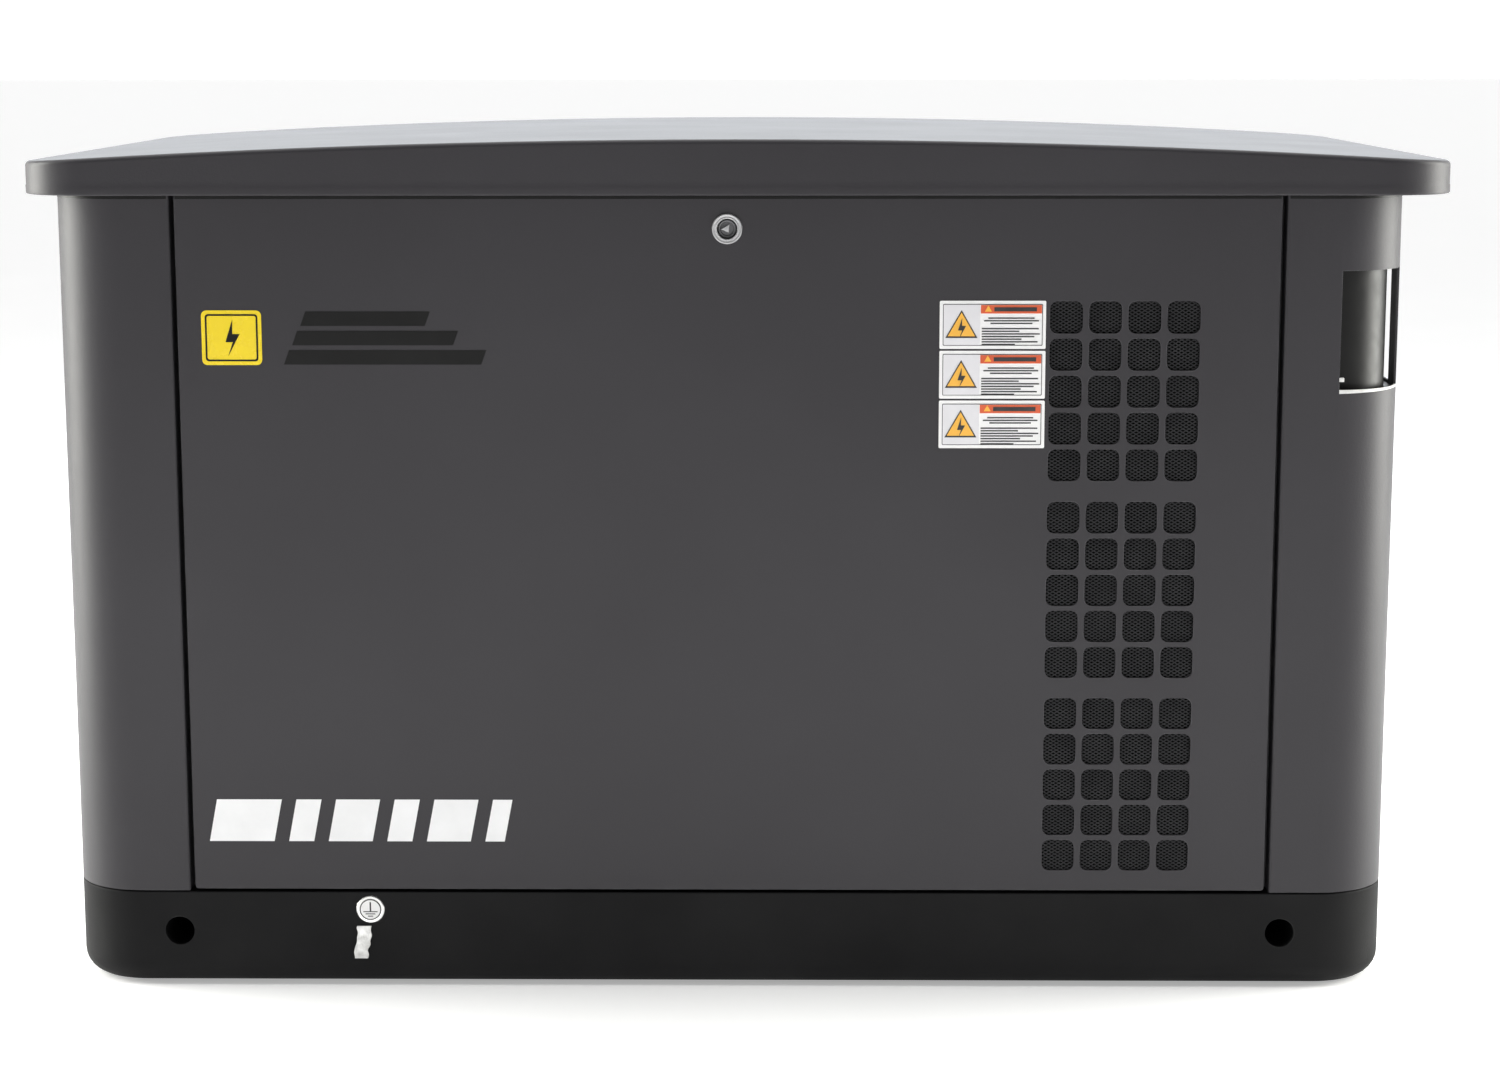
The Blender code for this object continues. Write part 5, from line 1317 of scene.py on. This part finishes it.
def build_engine_dress():
    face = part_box("crankcase")[0].x
    parts = bolts(
        [(face, s * y, z) for y, z in ((0.085, 0.215), (0.112, 0.300), (0.090, 0.405)) for s in (-1, 1)], LEFT, 0.0045
    )
    ribs = []
    for side in (-1, 1):
        parts += bolts([(x, side * 0.1300, CRANK_Z) for x in (-0.110, -0.010, 0.090)], (0, side, 0), 0.0040)
        near, far = sorted((side * 0.1285, side * 0.1335))
        for x in [-0.115 + 0.042 * i for i in range(6)]:
            ribs.append(block("case_rib", (x, near, 0.238), (x + 0.004, far, 0.345), "cast_aluminium", 0.0015))
    add("case_bolts", "enclosure", *parts)
    add("case_ribs", "enclosure", *ribs, slot="cast_aluminium")

    low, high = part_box("oil_filter")
    centre = Vector(((low.x + high.x) / 2, high.y, (low.z + high.z) / 2))
    length, radius = high.y - low.y, (high.x - low.x) / 2
    seam = [(0.0005, 0.0012), (0.0, 0.0030), (0.0006, 0.0050), (0.0012, 0.0060)]
    crest = [(0.0012, 0.022), (0.0020, 0.020), (0.0026, 0.008), (0.0075, 0.0015), (0.012, 0.0003)]
    can = [(0, 0), (radius - 0.004, 0), *[(radius - within, height) for within, height in seam]]
    can += [*[(radius - within, length - below) for within, below in crest], (0, length - 0.0010)]
    parts = [lathe("can", can, "orange_filter", centre, OUT, 60)]
    for i in range(15):
        angle = math.tau * i / 15
        turn = Matrix.Translation(centre) @ Matrix.Rotation(angle, 4, "Y")
        flute_low = (-0.0016, -length + 0.0080, radius - 0.0045)
        flute_high = (0.0016, -length + 0.022, radius - 0.0008)
        parts.append(block("flute", flute_low, flute_high, "orange_filter", 0.0012, turn))
    add("oil_filter_can", "enclosure", *parts, stands_for="oil_filter", slot="orange_filter")

    low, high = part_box("starter_motor")
    centre = Vector((low.x, -0.172, 0.245))
    length = high.x - low.x
    drum = mm((0, 0), (26, 0), (30, 2), (32.5, 10), (34.5, 12), (34.5, 60), (36, 62), (36, 66), (34.5, 68))
    drum += [
        (0.0345, length - 0.030), (0.0360, length - 0.028), (0.0360, length - 0.001), (0.034, length), (0, length)
    ]
    solenoid = mm((0, 0), (12, 0), (13, 6), (18.5, 7), (20, 10), (20, 78), (18, 84), (0, 84))
    parts = [
        lathe("drum", drum, "engine_black", centre, RIGHT, 48),
        lathe("solenoid", solenoid, "engine_black", centre + Vector((0.030, 0, 0.0525)), RIGHT, 40),
        block("saddle", (0.030, -0.182, 0.268), (0.080, -0.162, 0.292), "engine_black", 0.003),
    ]
    parts += bolts([(centre.x, *spot) for spot in arc((centre.y, centre.z), 0.022, 60, 300, 2)], LEFT, 0.0030)
    add("starter_body", "enclosure", *parts, stands_for="starter_motor", slot="engine_black")


def build_alternator():
    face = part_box("alternator_end_cover")[0].x + 0.0142
    spots = [(face, *spot) for spot in arc((0, CRANK_Z), 0.120, 0, 315, 7)]
    add("end_cover_bolts", "enclosure", *bolts(spots, LEFT, 0.0042))
    low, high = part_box("stator_housing")
    bands = []
    for i in range(32):
        angle = math.tau * (i + 0.5) / 32
        turn = Matrix.Translation((0, 0, CRANK_Z)) @ Matrix.Rotation(angle, 4, "X")
        if math.cos(angle) < -0.45:
            continue
        rib_low, rib_high = (low.x + 0.018, -0.0016, 0.136), (high.x - 0.018, 0.0016, 0.1465)
        bands.append(block("rib", rib_low, rib_high, "engine_black", 0.0012, turn))
    for x in (low.x + 0.0005, high.x - 0.0125):
        ring = mm((138.5, 0), (142, 0), (143, 1), (143, 11), (142, 12), (138.5, 12))
        bands.append(lathe("band", ring, "engine_black", (x, 0, CRANK_Z), RIGHT, 72))
    add("stator_ribs", "enclosure", *bands, slot="engine_black")


def build_blower_guard():
    """Wire guard over the fan's intake."""
    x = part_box("blower_housing")[1].x + 0.0012
    parts = []
    for radius in (0.022, 0.040, 0.058, 0.076, 0.094):
        parts.append(lathe("ring", section(0.0013, 8, radius), "zinc", (x, 0, CRANK_Z), RIGHT, 64))
    for i in range(8):
        turn = math.tau * i / 8
        spoke = [(x + 0.0018, r * math.cos(turn), CRANK_Z + r * math.sin(turn)) for r in (0.020, 0.110)]
        parts.append(rod("spoke", spoke, 0.0013, "zinc", 2))
    spots = [(x - 0.0010, *spot) for spot in arc((0, CRANK_Z), 0.128, 45, 315, 3)]
    add("intake_guard", "enclosure", *parts, *bolts(spots, RIGHT, 0.0040), slot="zinc")


def build_air_cleaner():
    low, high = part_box("air_cleaner_cover")
    parts = [
        block("cover", low, (high.x, high.y, high.z - 0.004), "black_plastic", 0.018, LEVEL, 5),
        block(
            "step", (low.x + 0.022, low.y + 0.022, high.z - 0.012), (high.x - 0.022, high.y - 0.022, high.z - 0.0015),
            "black_plastic", 0.006,
        ),
    ]
    for i in range(9):
        x = low.x + 0.045 + i * (high.x - low.x - 0.090) / 8
        parts.append(
            block(
                "rib", (x - 0.0025, low.y + 0.040, high.z - 0.006), (x + 0.0025, high.y - 0.040, high.z),
                "black_plastic", 0.0022,
            ),
        )
    for y in (low.y, high.y):
        outward = 1 if y > 0 else -1
        for x in (low.x + 0.060, high.x - 0.060):
            near, far = sorted((y - outward * 0.004, y + outward * 0.0015))
            parts.append(
                block("catch", (x - 0.010, near, low.z + 0.006), (x + 0.010, far, low.z + 0.034), "zinc", 0.0012)
            )
    add("air_cleaner_lid", "air_cleaner_cover", *parts, stands_for="air_cleaner_cover", slot="black_plastic")
    low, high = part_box("air_cleaner_base")
    tray = block("tray", low, high, "black_plastic", 0.006, LEVEL, 4)
    add("air_cleaner_tray", "enclosure", tray, stands_for="air_cleaner_base", slot="black_plastic")


# ---------------------------------------------------------------- exhaust

MUFFLER_X, MUFFLER_Z, MUFFLER_RADIUS = 0.535, 0.300, 0.060
PIPE_Y, PIPE_Z, PIPE_RADIUS = 0.200, 0.500, 0.018


def build_exhaust():
    for side, word in ((-1, "front"), (1, "rear")):
        port = bank(word) @ Vector((0.0583, 0, 0.249))
        y, bend = side * PIPE_Y, 0.030
        knots = [
            port,
            port + Vector((0.022, 0, 0)),
            (0.150, side * 0.192, 0.508),
            (0.215, y, PIPE_Z),
            (0.415, y, PIPE_Z),
            (MUFFLER_X - bend, y, PIPE_Z),
            (MUFFLER_X - 0.2 * bend, y, PIPE_Z - 0.2 * bend),
            (MUFFLER_X, y, PIPE_Z - bend),
        ]
        points = [*smooth_route(knots, 0.012), (MUFFLER_X, y, MUFFLER_Z + MUFFLER_RADIUS - 0.004)]
        parts = [rod("pipe", points, PIPE_RADIUS, "heat_steel", 6)]
        collar = mm((17.8, 0), (23, 0), (23.4, 0.6), (23.4, 8), (22.5, 9), (17.8, 9))
        parts.append(lathe("port_flange", collar, "heat_steel", port, RIGHT, 36))
        parts.append(lathe("joint", collar, "heat_steel", (MUFFLER_X, y, MUFFLER_Z + MUFFLER_RADIUS - 0.002), UP, 36))
        clamp = mm((17.9, 0), (20, 0), (20.3, 0.6), (20.3, 12), (20, 12.6), (17.9, 12.6))
        parts.append(lathe("clamp", clamp, "zinc", (0.300, y, PIPE_Z), RIGHT, 36))
        parts += bolts([(0.306, y, PIPE_Z + 0.0200)], UP, 0.0034)
        add(f"header_pipe_{word}", "enclosure", *parts, stands_for=f"exhaust_pipe_{word}", slot="heat_steel")

    half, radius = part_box("muffler")[1].y, MUFFLER_RADIUS
    end = [(0, 0.004), (0.030, 0.003), (0.046, 0.0010), (0.0555, 0.0), (0.0590, 0.0010)]
    end += [(radius, 0.0040), (radius, 0.0080), (0.0585, 0.0100)]
    profile = [(out, -half + within) for out, within in end] + [(out, half - within) for out, within in reversed(end)]
    centre = Vector((MUFFLER_X, 0, MUFFLER_Z))
    parts = [lathe("shell", profile, "heat_steel", centre, BACK, 72)]
    for y in (-0.150, 0.150):
        strap = mm((58.4, -10), (59.8, -10), (60, -9.5), (60, 9.5), (59.8, 10), (58.4, 10))
        parts.append(lathe("strap", strap, "zinc", centre + Vector((0, y, 0)), BACK, 72))
        parts.append(
            block(
                "strap_foot", (MUFFLER_X - 0.012, y - 0.010, 0.0936),
                (MUFFLER_X + 0.012, y + 0.010, MUFFLER_Z - 0.0590), "zinc", 0.002,
            ),
        )
    base = MUFFLER_Z + 0.050
    knots = [(MUFFLER_X, 0, base), (MUFFLER_X, 0, 0.540), (0.547, 0, 0.578), (0.583, 0, 0.592)]
    parts.append(rod("tail", smooth_route(knots, 0.012), 0.0198, "heat_steel", 6))
    direction = (Vector(knots[-1]) - Vector(knots[-2])).normalized()
    mouth = mm((0, 0), (17.2, 0), (17.6, 0.6), (17.6, 1.2), (19.8, 1.2), (19.8, -4), (0, -4))
    parts.append(lathe("mouth", mouth, "engine_black", Vector(knots[-1]), direction, 36))
    add("muffler_shell", "enclosure", *parts, stands_for="muffler", slot="heat_steel")
    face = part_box("exhaust_partition")[0].x
    screws = [(face, y, z) for y in (-0.300, -0.150, 0.0, 0.150, 0.300) for z in (0.112, 0.718)]
    add("partition_screws", "enclosure", *bolts(screws, LEFT, 0.0032))


# ---------------------------------------------------------------- fuel

GAS_X, GAS_INLET_Z, REGULATOR_Z = -0.300, 0.300, 0.550


def build_fuel():
    inlet = Vector((GAS_X, REAR, GAS_INLET_Z))
    profile = mm((0, 20), (13.3, 20), (13.3, 29), (14, 30), (16, 30))
    for i in range(9):
        top = 0.0290 - 0.0018 * i
        profile += [(0.0174, top - 0.0004), (0.0164, top - 0.0013)]
    profile += mm((16.4, 9), (17, 6), (17.4, -90), (0, -90))
    hexagon = [arc((GAS_X, GAS_INLET_Z), 0.0272, 0, 300, 5)]
    parts = [
        lathe("pipe", profile, "zinc", inlet, BACK, 48),
        plate("collar", hexagon, -REAR - 0.0090, -REAR - 0.0004, "zinc", FRONT_PLANE, 0.0009),
    ]
    riser = [(0, 0), (0.0110, 0), (0.0110, REGULATOR_Z - 0.066 - GAS_INLET_Z), (0, REGULATOR_Z - 0.066 - GAS_INLET_Z)]
    parts.append(lathe("riser", riser, "zinc", (GAS_X, 0.272, GAS_INLET_Z), UP, 32))
    for z in (GAS_INLET_Z - 0.0160, 0.462):
        hexagon = [arc((GAS_X, 0.272), 0.0165, 0, 300, 5)]
        parts.append(plate("nut", hexagon, z + 0.006, z + 0.024, "zinc", LEVEL, 0.0008))
    add("gas_connection", "enclosure", *parts, stands_for="gas_inlet", slot="zinc")

    centre = Vector((GAS_X, 0.245, REGULATOR_Z))
    body = mm(
        (0, -20), (19, -20), (22, -17), (22, 0), (40, 4), (56, 12), (57, 22), (64.5, 22.5), (65, 23.5), (65, 32),
        (64.5, 33), (57, 33.5), (54, 46), (40, 54), (25, 55), (25, 102), (0, 102),
    )
    parts = [lathe("diaphragm", body, "cast_aluminium", centre, BACK, 72)]
    spots = [(x, centre.y + 0.0225, z) for x, z in arc((centre.x, centre.z), 0.0605, 22.5, 337.5, 7)]
    parts += bolts(spots, OUT, 0.0026)
    outlet = mm(
        (0, 30), (15, 30), (15, 62), (11.8, 64), (11.8, 72), (10.8, 74), (11.8, 78), (10.8, 84), (11.6, 89.5), (0, 90)
    )
    parts.append(lathe("outlet", outlet, "cast_aluminium", (GAS_X, 0.262, REGULATOR_Z), RIGHT, 40))
    add("regulator_body", "enclosure", *parts, stands_for="gas_regulator", slot="cast_aluminium")

    start = GAS_X + 0.0915
    knots = [
        (start, 0.262, REGULATOR_Z), (start + 0.018, 0.262, REGULATOR_Z), (-0.165, 0.215, 0.552),
        (-0.150, 0.140, 0.558), (-0.125, 0.060, 0.560), (-0.085, 0.012, 0.557), (-0.060, 0.000, 0.555),
        (-0.0403, 0.000, 0.555),
    ]
    points = smooth_route(knots, 0.010)
    parts = [rod("hose", points, 0.0099, "rubber", 5)]
    for spot, axis in ((points[2], points[3] - points[1]), (points[-3], points[-2] - points[-4])):
        band = mm((9.8, -4.5), (10.6, -4.5), (10.7, 0), (10.6, 4.5), (9.8, 4.5))
        parts.append(lathe("clamp", band, "zinc", spot, axis, 36))
        parts += bolts([spot + Vector((0, 0, 0.0100))], UP, 0.0024)
    add("fuel_hose", "enclosure", *parts, stands_for="gas_hose", slot="rubber", smooth=60)


# ---------------------------------------------------------------- battery and controls


def build_battery():
    low, high = Vector((-0.600, -0.318, 0.0933)), Vector((-0.400, -0.150, 0.275))
    seam = high.z - 0.022
    parts = [
        block("case", low, (high.x, high.y, seam), "battery_case", 0.004),
        block("cover", (low.x, low.y, seam - 0.0005), high, "battery_case", 0.005),
        block(
            "groove", (low.x + 0.0012, low.y + 0.0012, seam - 0.004),
            (high.x - 0.0012, high.y - 0.0012, seam + 0.004), "battery_case",
        ),
    ]
    for i in range(6):
        x = low.x + 0.028 + 0.0288 * i
        cap = mm((0, 0), (9, 0), (9.2, 0.8), (8.6, 2.6), (7, 3), (0, 2.4))
        parts.append(lathe("vent_cap", cap, "battery_case", (x, -0.200, high.z - 0.0002), UP, 32))
    for x in (-0.565, -0.435):
        post = mm((0, -2), (15, -2), (15, 2), (9, 2.4), (8.4, 15.5), (7.8, 16), (0, 16))
        parts.append(lathe("post", post, "zinc", (x, -0.285, high.z), UP, 32))
    add("battery_box", "enclosure", *parts, stands_for="battery", slot="battery_case")
    strap_z, y = high.z + 0.0004, -0.250
    parts = [
        block(
            "bar", (low.x - 0.010, y - 0.010, strap_z), (high.x + 0.010, y + 0.010, strap_z + 0.0022), "zinc", 0.0008
        ),
        rod("stay_a", [(low.x - 0.006, y, 0.0940), (low.x - 0.006, y, strap_z + 0.008)], 0.0028, "zinc", 4),
        rod("stay_b", [(high.x + 0.006, y, 0.0940), (high.x + 0.006, y, strap_z + 0.008)], 0.0028, "zinc", 4),
    ]
    parts += bolts([(x, y, strap_z + 0.0022) for x in (low.x - 0.006, high.x + 0.006)], UP, 0.0046)
    add("battery_hold_down", "enclosure", *parts, slot="zinc")


BOX_PROFILE = [(-0.310, 0.460), (-0.140, 0.460), (-0.140, 0.700), (-0.240, 0.700), (-0.310, 0.600)]


def slope_frame(x, along=0.0):
    """A frame on the control box's sloping face, with +Z out of it and +Y up the slope."""
    low, high = Vector(BOX_PROFILE[4]), Vector(BOX_PROFILE[3])
    middle, up = (low + high) / 2, (high - low).normalized()
    place = middle + up * along
    out = Vector((0, -up.y, up.x))
    turn = Matrix((Vector(RIGHT), Vector((0, up.x, up.y)), out)).transposed().to_4x4()
    return Matrix.Translation((x, place.x, place.y)) @ turn


def build_controls():
    screen = slope_frame(-0.490, 0.012)
    outer = rounded_rectangle((-0.0445, -0.0255), (0.0445, 0.0255), 0.004)
    inner = rounded_rectangle((-0.036, -0.017), (0.036, 0.019), 0.002)
    parts = [
        plate("bezel", [outer, inner], -0.0028, 0.0012, "black_plastic", screen, 0.0005),
        plate("glass", [inner], -0.0028, -0.0008, "display_glass", screen),
    ]
    for i in range(4):
        spot = rounded_rectangle((-0.030 + 0.0165 * i, -0.0240), (-0.0205 + 0.0165 * i, -0.0190), 0.0015, 4)
        parts.append(plate("key", [spot], 0.0010, 0.0024, "control_plastic", screen, 0.0004))
    add("display", "enclosure", *parts)
    lines = [bar((-0.031, 0.010 - 0.0065 * i), (0.020 - 0.009 * (i % 2), 0.0125 - 0.0065 * i)) for i in range(4)]
    add("display_lines", "enclosure", plate("lines", lines, -0.0008, -0.0006, "label_amber", screen))
    lamps = []
    for i, finish in enumerate(("red_plastic", "yellow_plastic", "label_white")):
        dome = mm((0, -0.5), (3.6, -0.5), (3.6, 0.4), (3, 1.8), (1.6, 2.6), (0, 2.8))
        spot = slope_frame(-0.422 + 0.013 * i, 0.028)
        lamps.append(lathe("lamp", dome, finish, spot.translation, spot.to_3x3() @ Vector(UP), 28))
    add("status_lamps", "enclosure", *lamps)

    low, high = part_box("control_box")
    details = bolts([(x, low.y, z) for x in (low.x + 0.012, high.x - 0.012) for z in (0.474, 0.590)], OUT, 0.0030)
    door = rounded_rectangle((low.x + 0.022, 0.470), (high.x - 0.022, 0.592), 0.006)
    details.append(plate("panel", [door], -low.y - 0.0005, -low.y + 0.0016, "control_plastic", FRONT_PLANE, 0.0006))
    for i in range(5):
        slot = rounded_rectangle((high.x - 0.090, 0.486 + 0.010 * i), (high.x - 0.036, 0.490 + 0.010 * i), 0.0019, 4)
        details.append(plate("vent", [slot], -low.y + 0.0012, -low.y + 0.0020, "engine_black", FRONT_PLANE))
    for x in (-0.520, -0.470, -0.420):
        gland = mm((0, 0), (12, 0), (12, 6), (10, 7), (9, 18), (6, 20), (0, 20))
        details.append(lathe("gland", gland, "black_plastic", (x, -0.225, low.z + 0.0005), (0, 0, -1), 32))
    add("control_box_details", "enclosure", *details)

    looms = []
    routes = (
        [
            (-0.520, -0.225, 0.442), (-0.520, -0.222, 0.415), (-0.500, -0.190, 0.395), (-0.430, -0.170, 0.440),
            (-0.330, -0.160, 0.452), (-0.250, -0.160, 0.420), (-0.200, -0.152, 0.400),
        ],
        [
            (-0.420, -0.225, 0.442), (-0.418, -0.224, 0.418), (-0.380, -0.222, 0.392), (-0.280, -0.215, 0.360),
            (-0.180, -0.205, 0.330), (-0.130, -0.190, 0.315),
        ],
    )
    for knots in routes:
        looms.append(rod("loom", smooth_route(knots, 0.010), 0.0052, "rubber", 4))
    add("wiring_looms", "enclosure", *looms, smooth=60)

    mode = slope_frame(-0.405, -0.030)
    up = mode.to_3x3() @ Vector(UP)
    dial = mm((0, 0.5), (14.6, 0.5), (15, 1.2), (15, 6), (13.6, 11.5), (12, 12.2), (0, 12.2))
    parts = [
        lathe("dial", dial, "black_plastic", mode.translation, up, 44),
        block("pointer", (-0.0030, -0.0150, 0.0100), (0.0030, 0.0150, 0.0198), "black_plastic", 0.0020, mode),
        block("line", (-0.0007, 0.0030, 0.0192), (0.0007, 0.0142, 0.0201), "mark_white", 0.0, mode),
    ]
    add("mode_knob", "mode_switch", *parts, stands_for="mode_switch", slot="black_plastic")

    stop = slope_frame(-0.345, -0.020)
    up = stop.to_3x3() @ Vector(UP)
    mushroom = mm((0, 8.5), (9.5, 8.5), (15, 9.2), (17.6, 11), (18, 14), (17.2, 18), (14, 20.8), (9, 21.9), (0, 22.2))
    stem = mm((0, -5.5), (9.2, -5.5), (9.2, 9.5), (0, 9.5))
    parts = [
        lathe("mushroom", mushroom, "red_plastic", stop.translation, up, 48),
        lathe("stem", stem, "engine_black", stop.translation, up, 32),
    ]
    add("stop_button", "emergency_stop", *parts, stands_for="emergency_stop", slot="red_plastic")
    collar = mm((18.5, -0.2), (21.5, -0.2), (21.5, 1), (20.8, 1.8), (18.5, 1.8))
    add("stop_collar", "enclosure", lathe("collar", collar, "yellow_plastic", stop.translation, up, 48))


def build_dipstick():
    x, y = 0.100, -0.235
    cap = mm((0, 471.2), (11.2, 471.2), (12, 472.2), (12, 490), (10, 494.5), (0, 495.2))
    stick = mm((0, 400), (2.2, 400), (2.5, 402), (2.5, 474), (0, 474))
    parts = [
        lathe("cap", cap, "yellow_plastic", (x, y, 0), UP, 36),
        lathe("stick", stick, "steel", (x, y, 0), UP, 20),
        lathe("loop", section(0.0032, 12, 0.0125), "yellow_plastic", (x, y, 0.5050), BACK, 40),
    ]
    for i in range(10):
        turn = Matrix.Translation((x, y, 0)) @ Matrix.Rotation(math.tau * i / 10, 4, "Z")
        parts.append(
            block("knurl", (0.0108, -0.0010, 0.4735), (0.0124, 0.0010, 0.4890), "yellow_plastic", 0.0005, turn)
        )
    add("dipstick_handle", "dipstick", *parts, stands_for="dipstick", slot="yellow_plastic")


# ---------------------------------------------------------------- finishes of the CAD nodes that show


def finish_nodes():
    slots = {entry["node"]: entry["material_slot"] for entry in frame["record"]["subparts"]}
    for name, obj in NODES.items():
        obj.data.materials.clear()
        obj.data.materials.append(FINISHES[slots[name]])


# ---------------------------------------------------------------- floor, light and camera


FLOOR_REACH = 60.0
DIM, BRIGHT = 0.12, 1.05  # the studio's strength in front of the part and behind it
SIDE_SIZE, SIDE_POWER, SIDE_TINT = (1.6, 2.2), 140, (1.0, 1.0, 0.94)
LIGHTS = (  # name, place, target, size, power, tint
    ("overhead", (0.0, 0.3, 3.4), (0.0, 0.0, 0.5), (4.0, 3.0), 90),
    ("behind", (0.0, 4.2, 2.2), (0.0, 0.0, 0.8), (6.0, 2.4), 100, (0.88, 0.94, 1.0)),
    ("low_front", (0.0, -1.7, 0.12), (0.0, -0.35, 0.10), (2.6, 0.2), 5),
    ("left", (-3.0, 0.2, 1.1), (-0.5, 0.0, 0.5), SIDE_SIZE, SIDE_POWER, SIDE_TINT),
    ("right", (3.0, 0.2, 1.1), (0.5, 0.0, 0.5), SIDE_SIZE, SIDE_POWER, SIDE_TINT),
)
SENSOR_WIDTH, CAMERA_LENS = 36.0, 72.2
CAMERA_PLACE = (0.0517, -3.1375, 0.9029)
CAMERA_YAW, CAMERA_PITCH, CAMERA_ROLL = 0.01106, 0.16626, 0.00089


def area_light(name, place, target, size, power, tint=(1.0, 1.0, 1.0)):
    data = bpy.data.lights.new(name, "AREA")
    data.shape = "RECTANGLE"
    data.size, data.size_y = size
    data.energy = power
    data.color = tint
    light = place_new(name, data)
    light.location = place
    light.rotation_euler = (Vector(target) - Vector(place)).to_track_quat("-Z", "Y").to_euler()
    light.visible_camera = False


def build_stage():
    shape = bmesh.new()
    corners = bar((-FLOOR_REACH, -FLOOR_REACH), (FLOOR_REACH, FLOOR_REACH))
    shape.faces.new([shape.verts.new((x, y, -0.0005)) for x, y in corners])
    floor = mesh_object("floor", shape, "floor")
    build_world()
    for light in LIGHTS:
        area_light(*light)
    bpy.context.scene.view_settings.view_transform = "Standard"


def build_world():
    """A white studio that is dimmer towards the front, where the camera stands."""
    world = bpy.data.worlds.new("studio")
    world.use_nodes = True
    nodes, links = world.node_tree.nodes, world.node_tree.links
    direction = nodes.new("ShaderNodeTexCoord").outputs["Generated"]
    split = nodes.new("ShaderNodeSeparateXYZ")
    links.new(direction, split.inputs["Vector"])
    fade = nodes.new("ShaderNodeMapRange")
    for key, value in zip(("From Min", "From Max", "To Min", "To Max"), (-0.5, 0.4, DIM, BRIGHT)):
        fade.inputs[key].default_value = value
    links.new(split.outputs["Y"], fade.inputs["Value"])
    background = nodes["Background"]
    background.inputs["Color"].default_value = (1.0, 1.0, 1.0, 1.0)
    links.new(fade.outputs["Result"], background.inputs["Strength"])
    bpy.context.scene.world = world


def build_camera():
    """At the photograph's angle, from a fit of the lid, seams, base and fittings."""
    data = bpy.data.cameras.new("camera")
    data.sensor_width, data.lens = SENSOR_WIDTH, CAMERA_LENS
    camera = place_new("camera", data)
    turn = Matrix.Rotation(CAMERA_YAW, 3, "Z") @ Matrix.Rotation(math.pi / 2 - CAMERA_PITCH, 3, "X")
    camera.rotation_euler = (turn @ Matrix.Rotation(-CAMERA_ROLL, 3, "Z")).to_euler()
    camera.location = CAMERA_PLACE
    bpy.context.scene.camera = camera


for build in (
    finish_nodes, build_lid, build_base, build_end_panels, build_outlet, build_window_trim, build_edge_trim,
    build_door, build_expanded_metal, build_lock, build_marks, build_labels, build_earth_point, build_back,
    build_hinge_screws, build_struts, build_lid_foam, build_seal, build_cylinders, build_engine_dress,
    build_alternator, build_blower_guard, build_air_cleaner, build_exhaust, build_fuel, build_battery,
    build_controls, build_dipstick, build_stage, build_camera,
):
    build()
